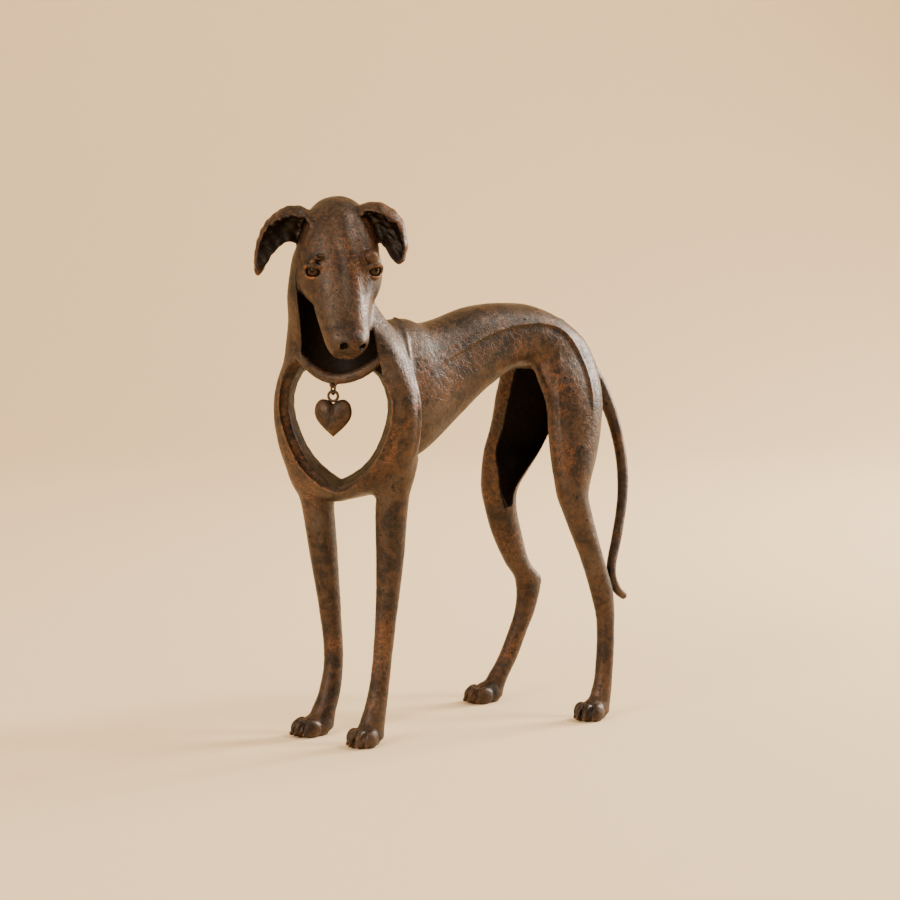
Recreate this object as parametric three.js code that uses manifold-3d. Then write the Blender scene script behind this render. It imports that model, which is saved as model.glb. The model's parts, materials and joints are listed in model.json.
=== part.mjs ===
// A resin greyhound sculpture about ten inches tall: a slender dog with a deep chest, a high tucked belly
// and a long curved tail. Its neck is a shell that is open in front, a heart-shaped window goes right
// through its chest, and a small heart hangs from the collar above that window.
// Millimetres, +Z up. The dog faces -Y, its left side is +X, and it stands on z = 0.
import * as THREE from 'three';
import { mergeVertices } from 'three/addons/utils/BufferGeometryUtils.js';
import Module from 'manifold-3d';

// The chest and neck turn 20 degrees to the dog's left, and the head turns further and looks down.
const CHEST_TURN = 20;
const HEAD_TURN = 63;
const HEAD_DROP = 53;
const HEAD_CENTRE = new THREE.Vector3(-0.2, 1.4, 231);

// How many sides the round sections have, and how many rings go between two stations.
const LIMB_SIDES = 11;
const BODY_SIDES = 20;
const RINGS_BETWEEN = 1;

// Chest and neck, from below: height, sideways place, place behind the chest line, half width, half depth.
const CHEST = [
  [112.5, -9, 10, 6, 5], [116, -6.6, 10.3, 17, 9], [121, -3, 10, 28.5, 11.4], [128, -0.5, 9, 34, 12.2],
  [138, -0.5, 8.5, 37.6, 12.5], [148, -0.5, 8, 39.4, 12.5], [158, -0.5, 7.5, 39.4, 12.5],
  [168, -0.5, 7.5, 37.2, 13], [178, 0, 7, 33, 14], [188, -1, 6, 29.3, 14.5], [198, -3, 4, 24.4, 15],
  [208, -5.4, 1.5, 20.2, 15], [218, -5.6, 1, 18.2, 15], [228, -5, 0.5, 16.5, 14], [236, -5, 0, 12, 11],
];
const CHEST_POWER = 2.6;

// The opening in the front of the neck, laid out like the chest.
const NECK_HOLLOW = [
  [170, 3, -4, 20, 14], [174, 4.2, -4, 22, 14.5], [180, 4.2, -4, 21, 15.5], [188, 4, -5, 19.4, 16.5],
  [198, 3, -6, 17.6, 17], [208, 1.2, -8, 15.4, 16.5], [220, -0.8, -10, 13.2, 15], [230, -3.5, -10, 8, 10],
];

// Right half of the heart window, from its tip up to the middle of the top: sideways place, height.
const WINDOW_HALF = [
  [0, 122.6], [5.8, 125.3], [11.2, 128.8], [15.8, 133], [19.4, 138], [22.6, 144], [24.9, 150], [26.1, 156],
  [25.8, 161.5], [24.2, 167], [21.2, 172], [17, 175], [9, 172],
];
const WINDOW_TOP = 170.6;
const WINDOW_CENTRE = 146;
const WINDOW_SIDE = -0.6;
// The window's wall, from the front to its far side: place behind the chest line, scale, and shift to the
// dog's right.
const WINDOW_WALL = [[-14, 1.5, 0], [-5, 1.24, 0], [1, 1, 0], [18, 1.01, 10.6], [64, 1.06, 39.4]];
const WINDOW_DROP = 0.07;

// Torso, from the front: place along the back, sideways place, height, half width, half height.
const TORSO = [
  [9, 10, 178, 8, 14], [14, 8, 173.2, 13, 21.6], [22, 5, 166.8, 19, 30.2], [35, 3, 164.6, 20.5, 33.2],
  [45, 2.5, 165, 19.5, 30.2], [58, 2, 170.4, 18, 26.5], [71, 2, 177.3, 17, 23.4], [84, 2, 182.8, 16.5, 19.8],
  [98, 2, 186.4, 16.5, 16.4], [112, 2, 185.6, 17.5, 15.7], [126, 2, 180.2, 17.8, 15.6],
  [138.4, 2, 172.9, 15, 14.1], [148, 2, 167, 10.6, 10.8], [153, 2, 165.5, 5.5, 6.5],
];

// Limbs, from above: height, x, y, half width, half length.
const LEFT_FORELEG = [
  [134, 17.6, 21.2, 9, 9.4], [118, 16.8, 19.6, 8.2, 7.7], [107, 16, 18.9, 7.4, 7.6],
  [87, 16.4, 17.8, 6.2, 6.8], [68, 16.9, 15.9, 5.2, 5.6], [50, 17.2, 13.7, 4.5, 4.9],
  [38, 17.3, 12.2, 4.3, 4.7], [27, 17.3, 10.6, 4.4, 4.8], [18, 17.2, 8.8, 4.8, 5.4], [10, 17, 6.8, 5.4, 6.2],
  [3, 17, 6.4, 5.2, 5.8],
];
const RIGHT_FORELEG = [
  [134, -25.4, 4.2, 9.6, 10], [118, -25.2, 4.5, 9, 9.2], [109, -23.4, 4.8, 7.8, 7.8],
  [88, -21.2, 6.2, 6.7, 6.9], [66, -19.3, 7.9, 5.3, 5.7], [48, -18.3, 9.3, 4.5, 4.9],
  [34, -17.6, 9.4, 4.4, 4.8], [20, -17.2, 6.8, 4.8, 5.4], [11, -17, 3, 5.4, 6.2], [3, -17, 2, 5.2, 5.8],
];
const LEFT_HINDLEG = [
  [193, 7, 120, 5, 9], [184, 11, 123.6, 8, 15], [170, 15.5, 125.6, 10.5, 17.6], [155, 21.5, 126, 10, 16.2],
  [140, 25, 123.4, 9.2, 14.8], [128, 27.2, 121, 8.6, 12.7], [118, 29, 118.8, 7.6, 10],
  [110, 30.2, 118, 6.8, 8.4], [102, 31.2, 120, 6.2, 7.6], [88, 32.3, 124.8, 5.6, 6.7],
  [78, 32.8, 128.6, 5.2, 6], [66, 33.3, 132.8, 5, 6.2], [58, 33.6, 134.8, 4.8, 5.7],
  [50, 33.9, 136, 4.4, 4.7], [38, 34.3, 135.9, 4.2, 4.4], [20, 34.9, 134.2, 4.3, 4.6],
  [10, 35.4, 131.8, 4.8, 5.4], [3, 35.6, 130.6, 4.8, 5.2],
];
const RIGHT_HINDLEG = [
  [192, -4, 121, 5, 9], [184, -8, 124.5, 8, 15], [170, -13.5, 127.8, 10.5, 16.8],
  [155, -18.5, 128.4, 10, 17.4], [140, -21.2, 128, 9.4, 18.4], [128, -24, 125, 8.8, 17.4],
  [118, -26, 122, 7.9, 14.4], [108.5, -27, 119, 7.1, 10.8], [99.5, -27.5, 119.6, 6.5, 8.9],
  [85.5, -28, 124, 5.8, 8.4], [70, -28, 130.8, 5.3, 6.8], [60, -28, 138, 5, 7.3],
  [46, -28.3, 136.9, 4.5, 5.7], [35, -28.6, 132.3, 4.3, 5.1], [21, -29, 125.6, 4.4, 5.2],
  [11, -29.4, 119, 4.8, 5.6], [3, -29.6, 116, 4.8, 5.2],
];
// The hind legs are hollowed from the inside, down to this height, and keep a rim and an outer wall.
const HOLLOW_LOW = 98;
const HOLLOW_TOP = 178;
const HOLLOW_RIM = 3.2;
const HOLLOW_WALL = 2.8;
// The hollow runs out over this height, to this share of its width, and is cut from this far outside the leg.
const HOLLOW_RUNOUT = 30;
const HOLLOW_NARROWS = 0.55;
const HOLLOW_REACH = 4;

// Paws: place of the instep, way the toes point, in degrees from straight ahead to the dog's left.
const PAWS = [[17.4, 3.6, 20], [-16.8, -2.2, -5], [35.8, 127.4, 16], [-29.8, 112.8, -6]];
const INSTEP = { size: [5.9, 7.6, 6.2], middle: 4.2 };
const TOES = [[-5, -4.4], [-1.8, -7.4], [1.8, -7.4], [5, -4.4]];
const TOE = { size: [2.5, 4.7, 4.5], middle: 4 };

// Tail, from its root: x, y, z, radius. It bends to the left and its end lies on the left hock.
const TAIL = [
  [2, 147, 172, 5], [4, 154.2, 164, 4], [7.8, 159.8, 150, 3.4], [12.8, 161.4, 136, 3],
  [18.3, 160.3, 120, 2.8], [23.4, 155.8, 104, 2.6], [28, 148.6, 88, 2.5], [31.4, 142.4, 76, 2.4],
  [33, 141, 68.6, 2.3], [33.4, 144, 62, 2.2], [33.4, 148, 58.6, 2],
];

// Collar, from the dog's right: sideways place, place behind the chest line, height.
const COLLAR = [
  [-25.5, 2.5, 187.4], [-22, -1.5, 183.2], [-12, -6, 176.9], [-2, -7.6, 172.4], [7, -7, 171.8],
  [15, -5, 174.2], [21, -2, 178.6], [25, 1.5, 183.6],
];
const COLLAR_RADIUS = 2.6;

// Head, along the muzzle: distance ahead, sideways place, height above the muzzle line, half width and
// half height.
const SKULL = [
  [-25.5, 0, 0, 5, 5], [-23.5, 0, 0, 9.5, 9.5], [-17.6, 0, 0.2, 14.3, 13.4], [-10, 0, 0.3, 17.2, 15],
  [0, 0, -0.6, 18.4, 15.2], [8, 0, -2, 18, 14.8], [16, 0, -3.4, 16.2, 13.4], [24, -0.5, -4.4, 13.4, 11.4],
  [33, -1, -5, 11.4, 9.8], [42, -1, -5.2, 10.1, 8.8], [49, -1, -5.4, 9, 7.8], [53, -1, -5.6, 6.8, 6],
];
const NOSE = { at: [-1, 51.4, -2.6], size: [5.4, 4, 4.4] };
const BROW = { at: [12.9, 9.4, 7], size: [3.9, 4.2, 3.9] };
const CHEEK = { at: [12.6, 8, -7], size: [7.2, 15, 9] };
const SOCKET = { at: [14.8, 14.6, 4.6], size: [4, 4.2, 3.4] };
const EYE_AT = [13.4, 14, 3.2];
const EYE_RADIUS = 3.3;

// Ears, from the skull to the tip: x, y, z, radius. Each is a folded leaf, hollow on the side of the face.
const RIGHT_EAR = [
  [-9, -9, 239.4, 8.2], [-14.4, -14, 242.6, 8.6], [-17.8, -20.6, 240.2, 6.9], [-19.6, -26, 232.9, 4.9],
  [-20.2, -29.4, 224.8, 3.1], [-20.2, -30.5, 220.4, 1.6],
];
const LEFT_EAR = [
  [3, 10, 242.6, 7], [8.2, 15.2, 245.6, 7.6], [13.2, 19.4, 241.2, 7.4], [16.8, 21.2, 234, 5.7],
  [18.6, 21.6, 227.2, 2.9],
];
const EAR_HOLLOW = new THREE.Vector3(3.6, -3.4, -3.2);
const EAR_THICKNESS = 1.5;
// At the skull the hollow is this share as deep, and in the tip it keeps this radius.
const EAR_HOLLOW_START = 0.4;
const EAR_HOLLOW_LEAST = 0.6;

// Staple under the collar, link and charm. The charm's face is turned a little from the chest line.
const CHARM_TURN = 38;
const LINK_TURN = 75;
const HANG_SIDE = 3.6;
const STAPLE = { radius: 1.4, wire: 0.6, ahead: 2.2, drop: 2.7 };
const LINK = { width: 1.6, length: 2.25, wire: 0.5 };
const CHARM_RING = { radius: 2.3, wire: 0.65 };
const HEART = { width: 17.8, height: 17.4, thickness: 8 };
// The heart's top and the plug that fills its cleft, measured from the middle of the charm's ring.
const CLEFT = { top: -1.5, plug: -3.6, size: [1.8, 2.2, 1.5] };
// Right half of the heart, from its tip to its cleft, in half widths and heights.
const HEART_HALF = [
  [0, -1], [0.27, -0.885], [0.52, -0.77], [0.8, -0.61], [0.96, -0.46], [1, -0.31], [0.9, -0.12],
  [0.66, -0.01], [0.38, -0.01], [0.14, -0.06], [0, -0.13],
];
const WIRE_PLAY = 0.3;
// The heart's cushion: places through its thickness, as shares of half of it, and the least share of its
// outline there. It shrinks towards the height of its middle.
const HEART_LAYERS = [-1, -0.8, 0, 0.8, 1];
const HEART_LEAST = 0.42;
const HEART_MIDDLE = -0.45;

const BRONZE = { color: '#43352c', roughness: 0.42, metalness: 0.35 };

const wasm = await Module();
wasm.setup();

const radians = THREE.MathUtils.degToRad;

// Points given in the chest's turned frame and in the head's own frame.
function chestPoint(side, behind, height) {
  const turn = radians(CHEST_TURN);
  return new THREE.Vector3(
    side * Math.cos(turn) - behind * Math.sin(turn), side * Math.sin(turn) + behind * Math.cos(turn), height);
}

const facing = new THREE.Vector3(Math.sin(radians(HEAD_TURN)), -Math.cos(radians(HEAD_TURN)), 0);
const headSide = new THREE.Vector3(-facing.y, facing.x, 0);
const headAhead = facing.clone().multiplyScalar(Math.cos(radians(HEAD_DROP)))
  .setZ(-Math.sin(radians(HEAD_DROP)));
const headUp = facing.clone().multiplyScalar(Math.sin(radians(HEAD_DROP))).setZ(Math.cos(radians(HEAD_DROP)));

function headPoint(side, ahead, up) {
  return HEAD_CENTRE.clone().addScaledVector(headSide, side).addScaledVector(headAhead, ahead)
    .addScaledVector(headUp, up);
}

// A smooth run of rows through the given stations.
function smoothRows(rows, between = RINGS_BETWEEN) {
  const last = rows.length - 1;
  const out = [];
  for (let i = 0; i < last; i += 1) {
    const [a, b, c, d] = [rows[Math.max(i - 1, 0)], rows[i], rows[i + 1], rows[Math.min(i + 2, last)]];
    for (let k = 0; k < between; k += 1) {
      const t = k / between;
      out.push(b.map((value, n) => value + 0.5 * t * (c[n] - a[n]
        + t * (2 * a[n] - 5 * value + 4 * c[n] - d[n] + t * (3 * (value - c[n]) + d[n] - a[n])))));
    }
  }
  out.push(rows[last]);
  return out;
}

// A closed body through rings of points, with a fan over each end.
function loft(rings) {
  const sides = rings[0].length;
  const points = rings.flat();
  const triangles = [];
  for (let r = 0; r < rings.length - 1; r += 1) {
    for (let s = 0; s < sides; s += 1) {
      const a = r * sides + s;
      const b = r * sides + (s + 1) % sides;
      triangles.push(a, b, b + sides, a, b + sides, a + sides);
    }
  }
  for (const r of [0, rings.length - 1]) {
    const centre = rings[r].reduce((sum, p) => sum.add(p), new THREE.Vector3()).divideScalar(sides);
    points.push(centre);
    for (let s = 0; s < sides; s += 1) {
      const edge = [r * sides + s, r * sides + (s + 1) % sides];
      if (r === 0) edge.reverse();
      triangles.push(edge[0], edge[1], points.length - 1);
    }
  }
  const geometry = new THREE.BufferGeometry().setFromPoints(points);
  geometry.setIndex(triangles);
  return geometry;
}

// Rows of height, two centres and two half sizes, as rings of a rounded section.
function sectionLoft(rows, place, sides, power = 2, between = RINGS_BETWEEN) {
  return loft(smoothRows(rows, between).map(([h, c1, c2, r1, r2]) => Array.from({ length: sides }, (_, k) => {
    const angle = (k + 0.5) / sides * 2 * Math.PI;
    const round = (value) => Math.sign(value) * Math.abs(value) ** (2 / power);
    return place(c1 + r1 * round(Math.cos(angle)), c2 + r2 * round(Math.sin(angle)), h);
  })));
}

// Rows of x, y, z and radius, as a tube that gets thicker and thinner along its path.
function taperedTube(rows, sides, between = RINGS_BETWEEN) {
  const fine = smoothRows(rows, between);
  const path = new THREE.CatmullRomCurve3(fine.map(([x, y, z]) => new THREE.Vector3(x, y, z)));
  const frames = path.computeFrenetFrames(fine.length - 1);
  return loft(fine.map(([x, y, z, radius], i) => Array.from({ length: sides }, (_, k) => {
    const angle = k / sides * 2 * Math.PI;
    return new THREE.Vector3(x, y, z)
      .addScaledVector(frames.normals[i], radius * Math.cos(angle))
      .addScaledVector(frames.binormals[i], radius * Math.sin(angle));
  })));
}

// An egg shape with its half sizes along three directions that place() turns into the model's.
function egg(at, size, place, across = 10, down = 7) {
  const geometry = new THREE.SphereGeometry(1, across, down);
  const position = geometry.attributes.position;
  for (let i = 0; i < position.count; i += 1) {
    const p = new THREE.Vector3().fromBufferAttribute(position, i);
    const q = place(at[0] + size[0] * p.x, at[1] + size[1] * p.y, at[2] + size[2] * p.z);
    position.setXYZ(i, q.x, q.y, q.z);
  }
  return geometry;
}

function signedVolume(geometry) {
  const { index, attributes: { position } } = geometry;
  const [a, b, c] = [new THREE.Vector3(), new THREE.Vector3(), new THREE.Vector3()];
  let sum = 0;
  for (let i = 0; i < index.count; i += 3) {
    [a, b, c].forEach((v, k) => v.fromBufferAttribute(position, index.getX(i + k)));
    sum += a.dot(b.cross(c)) / 6;
  }
  return sum;
}

function toSolid(shape) {
  const bare = shape.clone();
  bare.deleteAttribute('normal');
  bare.deleteAttribute('uv');
  const merged = mergeVertices(bare, 1e-4);
  const triVerts = new Uint32Array(merged.index.array);
  if (signedVolume(merged) < 0) {
    triVerts.reverse();
  }
  const vertProperties = new Float32Array(merged.attributes.position.array);
  return new wasm.Manifold(new wasm.Mesh({ numProp: 3, vertProperties, triVerts }));
}

function toGeometry(solid) {
  const { vertProperties, triVerts } = solid.getMesh();
  const geometry = new THREE.BufferGeometry();
  geometry.setAttribute('position', new THREE.BufferAttribute(new Float32Array(vertProperties), 3));
  geometry.setIndex(new THREE.BufferAttribute(new Uint32Array(triVerts), 1));
  geometry.computeVertexNormals();
  return geometry;
}

const join = (shapes) => shapes.map((s) => (s.isBufferGeometry ? toSolid(s) : s)).reduce((a, b) => a.add(b));
const cut = (solid, shapes) => shapes.reduce((a, b) => a.subtract(toSolid(b)), solid);

const upright = (a, b, h) => new THREE.Vector3(a, b, h);
const alongBack = (a, b, h) => new THREE.Vector3(a, h, b);
const alongMuzzle = (a, b, h) => headPoint(a, h, b);

function mirrorSides({ at, size }, place = headPoint) {
  return [-1, 1].map((side) => egg([side * at[0], at[1], at[2]], size, place));
}

function windowCut() {
  const left = WINDOW_HALF.slice(1).reverse().map(([side, height]) => [-side, height]);
  const outline = [...WINDOW_HALF, [0, WINDOW_TOP], ...left];
  return loft(WINDOW_WALL.map(([behind, scale, shift]) => outline.map(([side, height]) => chestPoint(
    WINDOW_SIDE + side * scale - shift, behind,
    WINDOW_CENTRE + (height - WINDOW_CENTRE) * scale - WINDOW_DROP * Math.max(behind, 0)))));
}

// The hollow of a hind leg: the leg's own section, smaller by the rim and moved through its inner side.
function legHollow(rows, inward) {
  const hollow = rows.filter(([h]) => h > HOLLOW_LOW && h < HOLLOW_TOP).map(([h, x, y, rx, ry]) => {
    const full = Math.min(1, (h - HOLLOW_LOW) / HOLLOW_RUNOUT);
    const floor = rx * (1 - full) - (rx - HOLLOW_WALL) * full;
    const half = rx + HOLLOW_REACH;
    const long = (ry - HOLLOW_RIM) * (HOLLOW_NARROWS + (1 - HOLLOW_NARROWS) * full);
    return [h, x + inward * (floor + half), y, half, long];
  });
  return sectionLoft(hollow, upright, LIMB_SIDES, 2.6);
}

function paw([x, y, turn]) {
  const place = (a, b, h) => upright(a, b, h).applyAxisAngle(new THREE.Vector3(0, 0, 1), radians(turn))
    .add(new THREE.Vector3(x, y, 0));
  const toes = TOES.map(([a, b]) => egg([a, b, TOE.middle], TOE.size, place, 8, 6));
  return join([egg([0, 0, INSTEP.middle], INSTEP.size, place, 10, 7), ...toes]);
}

function ear(rows) {
  const { x, y, z } = EAR_HOLLOW;
  const inner = rows.map(([a, b, c, r], i) => {
    const deep = i === 0 ? EAR_HOLLOW_START : 1;
    return [a + x * deep, b + y * deep, c + z * deep, Math.max(r - EAR_THICKNESS, EAR_HOLLOW_LEAST)];
  });
  return cut(toSolid(taperedTube(rows, 13)), [taperedTube(inner, 11)]);
}

function head() {
  const skull = join([
    sectionLoft(SKULL, alongMuzzle, 18, 2.1), ...mirrorSides(BROW), ...mirrorSides(CHEEK),
    egg(NOSE.at, NOSE.size, headPoint),
  ]);
  const eyes = mirrorSides({ at: EYE_AT, size: Array(3).fill(EYE_RADIUS) });
  return join([cut(skull, mirrorSides(SOCKET)), ...eyes]);
}

function collar() {
  const rows = COLLAR.map(([side, behind, height]) => [...chestPoint(side, behind, height), COLLAR_RADIUS]);
  return taperedTube(rows, 10, 3);
}

// A ring of wire whose two half sizes may differ, in a plane that stands upright.
function wireRing(centre, turn, halfWidth, halfHeight, wire, steps = 16, sides = 6) {
  const across = new THREE.Vector3(Math.cos(radians(turn)), Math.sin(radians(turn)), 0);
  const through = new THREE.Vector3(-across.y, across.x, 0);
  const position = [];
  const index = [];
  for (let i = 0; i < steps; i += 1) {
    const angle = i / steps * 2 * Math.PI;
    const on = centre.clone().addScaledVector(across, halfWidth * Math.cos(angle));
    on.z += halfHeight * Math.sin(angle);
    const out = across.clone().multiplyScalar(halfHeight * Math.cos(angle)).setZ(halfWidth * Math.sin(angle));
    out.setLength(wire);
    for (let k = 0; k < sides; k += 1) {
      const round = k / sides * 2 * Math.PI;
      const point = on.clone().addScaledVector(out, Math.cos(round));
      position.push(point.addScaledVector(through, wire * Math.sin(round)));
      const [a, b] = [i * sides + k, i * sides + (k + 1) % sides];
      const [c, d] = [a, b].map((v) => (v + sides) % (steps * sides));
      index.push(a, b, d, a, d, c);
    }
  }
  const geometry = new THREE.BufferGeometry().setFromPoints(position);
  geometry.setIndex(index);
  return geometry;
}

// Where the staple, the link and the charm's ring hang, one below the other.
const [, collarBehind, collarHeight] = COLLAR[4];
const stapleCentre = chestPoint(HANG_SIDE, collarBehind - STAPLE.ahead, collarHeight - STAPLE.drop);
const linkCentre = stapleCentre.clone();
linkCentre.z -= STAPLE.radius + LINK.length - STAPLE.wire - LINK.wire - WIRE_PLAY;
const ringCentre = linkCentre.clone();
ringCentre.z -= LINK.length + CHARM_RING.radius - LINK.wire - CHARM_RING.wire - WIRE_PLAY;

function heartCharm() {
  const turn = radians(CHARM_TURN);
  const place = (across, behind, height) => new THREE.Vector3(
    ringCentre.x + across * Math.cos(turn) - behind * Math.sin(turn),
    ringCentre.y + across * Math.sin(turn) + behind * Math.cos(turn), ringCentre.z + height);
  const left = HEART_HALF.slice(1, -1).reverse().map(([side, height]) => [-side, height]);
  const outline = [...HEART_HALF, ...left];
  const layers = HEART_LAYERS.map((depth) => {
    const scale = Math.max(Math.sqrt(1 - depth * depth), HEART_LEAST);
    return outline.map(([side, height]) => place(
      side * scale * HEART.width / 2, depth * HEART.thickness / 2,
      CLEFT.top + HEART.height * (HEART_MIDDLE + (height - HEART_MIDDLE) * scale)));
  });
  return join([
    loft(layers), egg([0, 0, CLEFT.plug], CLEFT.size, place, 6, 5),
    wireRing(ringCentre, CHARM_TURN, CHARM_RING.radius, CHARM_RING.radius, CHARM_RING.wire),
  ]);
}

function greyhound() {
  const body = join([
    sectionLoft(CHEST, chestPoint, BODY_SIDES, CHEST_POWER), sectionLoft(TORSO, alongBack, BODY_SIDES, 2.2),
    ...[LEFT_FORELEG, RIGHT_FORELEG, LEFT_HINDLEG, RIGHT_HINDLEG]
      .map((rows) => sectionLoft(rows, upright, LIMB_SIDES)),
  ]);
  const opened = cut(body, [
    windowCut(), sectionLoft(NECK_HOLLOW, chestPoint, BODY_SIDES),
    legHollow(LEFT_HINDLEG, -1), legHollow(RIGHT_HINDLEG, 1),
  ]);
  const whole = join([
    opened, head(), ear(RIGHT_EAR), ear(LEFT_EAR), collar(), taperedTube(TAIL, 8), ...PAWS.map(paw),
    wireRing(stapleCentre, CHARM_TURN, STAPLE.radius, STAPLE.radius, STAPLE.wire),
  ]);
  const reach = HEAD_CENTRE.z * 2;
  const below = new THREE.BoxGeometry(reach, reach, reach).translate(0, 0, -reach / 2);
  return cut(whole, [below]);
}

const group = new THREE.Group();

function addPiece(name, solid, look) {
  const mesh = new THREE.Mesh(toGeometry(solid), new THREE.MeshStandardMaterial(look));
  mesh.name = name;
  group.add(mesh);
}

addPiece('greyhound', greyhound(), BRONZE);
const link = wireRing(linkCentre, CHARM_TURN + LINK_TURN, LINK.width, LINK.length, LINK.wire);
addPiece('charm_link', toSolid(link), BRONZE);
addPiece('heart_charm', heartCharm(), BRONZE);

// The origin is on the floor, below the middle of the whole piece.
const middle = new THREE.Box3().setFromObject(group).getCenter(new THREE.Vector3());
group.position.set(-middle.x, -middle.y, 0);
group.updateMatrixWorld(true);

export default group;
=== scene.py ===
# %% [markdown]
# # A resin greyhound in Blender
# The real piece is one casting, about ten inches tall, painted like old bronze: dark brown, with copper
# showing where hands would rub it. This lesson dresses its fixed solids. The long smooth body is modelled
# the way a sculptor builds it, by pressing simple lumps together and smoothing the joins, and only then
# is it turned into a mesh. The link and the ring of the charm follow a path, so Geometry Nodes make them.

# %% Load the solids that everything has to fit
import json
import math

import bpy
import numpy as np
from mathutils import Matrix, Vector, noise
from mathutils.bvhtree import BVHTree
from mathutils.kdtree import KDTree

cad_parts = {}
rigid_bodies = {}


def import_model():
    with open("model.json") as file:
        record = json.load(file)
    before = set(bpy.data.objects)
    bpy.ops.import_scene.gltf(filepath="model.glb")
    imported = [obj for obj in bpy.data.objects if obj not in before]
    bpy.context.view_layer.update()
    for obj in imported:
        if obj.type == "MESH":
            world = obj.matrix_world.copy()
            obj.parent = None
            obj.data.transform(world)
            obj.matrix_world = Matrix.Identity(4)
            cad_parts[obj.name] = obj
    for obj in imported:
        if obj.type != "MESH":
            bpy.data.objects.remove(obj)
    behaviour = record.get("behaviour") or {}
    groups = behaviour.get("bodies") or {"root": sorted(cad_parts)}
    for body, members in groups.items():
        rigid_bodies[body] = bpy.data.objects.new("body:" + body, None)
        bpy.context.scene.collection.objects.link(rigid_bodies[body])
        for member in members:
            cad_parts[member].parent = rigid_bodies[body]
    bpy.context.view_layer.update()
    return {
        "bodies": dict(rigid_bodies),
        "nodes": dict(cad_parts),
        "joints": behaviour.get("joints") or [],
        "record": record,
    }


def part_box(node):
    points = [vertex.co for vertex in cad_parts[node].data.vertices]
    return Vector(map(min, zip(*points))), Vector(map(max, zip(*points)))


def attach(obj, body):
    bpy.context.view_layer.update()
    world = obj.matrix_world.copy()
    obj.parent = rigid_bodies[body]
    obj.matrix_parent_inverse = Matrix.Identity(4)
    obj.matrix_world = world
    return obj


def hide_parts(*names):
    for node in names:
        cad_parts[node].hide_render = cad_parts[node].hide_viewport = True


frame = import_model()

# %% [markdown]
# ## Where the sculptor's measurements start
# All sculpting sizes are in millimetres, measured from the floor between the forefeet. The dog faces -Y and
# its left side is +X. The solids use the middle of the whole piece instead, so the two origins differ by a
# shift along the floor. The little link under the collar stands at a known place in both, and gives it.

# %% Millimetres, the turned chest, and the shift between the two origins
MM = 0.001
CHEST_TURN = math.radians(20)
LINK_AT = (3.6, -9.2)


def chest_to_dog(side, behind, height=0.0):
    """A point given by its place in the turned chest."""
    turn_cos, turn_sin = math.cos(CHEST_TURN), math.sin(CHEST_TURN)
    return np.array([side * turn_cos - behind * turn_sin, side * turn_sin + behind * turn_cos, height])


link_low, link_high = (np.array(corner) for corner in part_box("charm_link"))
link_middle = (link_low + link_high) / 2 / MM
SHIFT = link_middle * [1, 1, 0] - chest_to_dog(*LINK_AT)
print("shift of the origin, mm:", SHIFT.round(2))

# %% [markdown]
# ## The camera
# It looks from the dog's front left, a little above its head, with a long lens, so that the near and the
# far legs keep almost the same scale.

# %% Camera
CAMERA_AT = np.array([1091.4, -786.5, 286.0])
CAMERA_TURN = math.radians(52.0)
CAMERA_DROP = math.radians(6.3)
LENS_PIXELS = 2900
PICTURE_PIXELS = 900
SENSOR_WIDTH = 36.0


def add_object(name, data):
    piece = bpy.data.objects.new(name, data)
    bpy.context.scene.collection.objects.link(piece)
    return piece


camera_data = bpy.data.cameras.new("camera")
camera_data.sensor_fit = "HORIZONTAL"
camera_data.sensor_width = SENSOR_WIDTH
camera_data.lens = SENSOR_WIDTH * LENS_PIXELS / PICTURE_PIXELS
camera_data.clip_end = 20.0
camera = add_object("camera", camera_data)
camera.location = (CAMERA_AT + SHIFT) * MM
camera.rotation_euler = (math.pi / 2 - CAMERA_DROP, 0, CAMERA_TURN)
bpy.context.scene.camera = camera
print("lens, mm:", round(camera_data.lens, 1))

# %% [markdown]
# ## Smooth unions of simple lumps
# A distance field answers one question for any point in space: how far is the surface, and on which side?
# Two fields join with a minimum, one carves the other with a maximum, and a small rounding in both gives
# the soft creases of a casting. Each lump only matters near itself, so it is asked only there.

# %% Joining and carving
def rounded_min(a, b, rounding):
    share = np.clip(0.5 + 0.5 * (b - a) / rounding, 0, 1)
    return b + (a - b) * share - rounding * share * (1 - share)


def close_to(points, lump, margin=0):
    """Which points lie in the lump's box, or at most a margin outside it."""
    return ((points > lump.low - margin) & (points < lump.high + margin)).all(1)


def press_on(field, points, lump, rounding):
    """Joins a lump to the clay."""
    here = close_to(points, lump, 2 * rounding + 4)
    field[here] = rounded_min(field[here], lump.distance(points[here]), rounding)


def carve(field, points, lump, rounding):
    """Cuts a lump out of the clay."""
    here = close_to(points, lump, 2 * rounding + 2)
    field[here] = -rounded_min(-field[here], lump.distance(points[here]), rounding)


def smooth_rows(rows, between=6):
    """A smooth run of values through a few chosen stations."""
    rows = np.array(rows, float)
    padded = np.concatenate([2 * rows[:1] - rows[1:2], rows, 2 * rows[-1:] - rows[-2:-1]])
    a, b, c, d = (padded[i:len(padded) - 3 + i, None, :] for i in range(4))
    t = (np.arange(between) / between)[None, :, None]
    run = b + 0.5 * t * (c - a + t * (2 * a - 5 * b + 4 * c - d + t * (3 * (b - c) + d - a)))
    return np.concatenate([run.reshape(-1, rows.shape[1]), rows[-1:]])


def egg_distance(offset, size):
    size = np.array(size, float)
    near = np.sqrt(((offset / size) ** 2).sum(1))
    slope = np.sqrt(((offset / size ** 2) ** 2).sum(1)) + 1e-9
    return near * (near - 1) / slope


# %% [markdown]
# ## Four kinds of lump
# A limb is a stack of rounded sections. A tube follows a path and changes its thickness. An egg is a
# stretched ball. Each can live in a frame of its own, such as the head's, which turns and looks down.

# %% Frames of the dog, the chest and the head
HEAD_TURN = math.radians(63)
HEAD_DROP = math.radians(53)
HEAD_CENTRE = np.array([-0.2, 1.4, 231.0])

facing = np.array([math.sin(HEAD_TURN), -math.cos(HEAD_TURN), 0])
upward = np.array([0, 0, 1.0])


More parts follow.
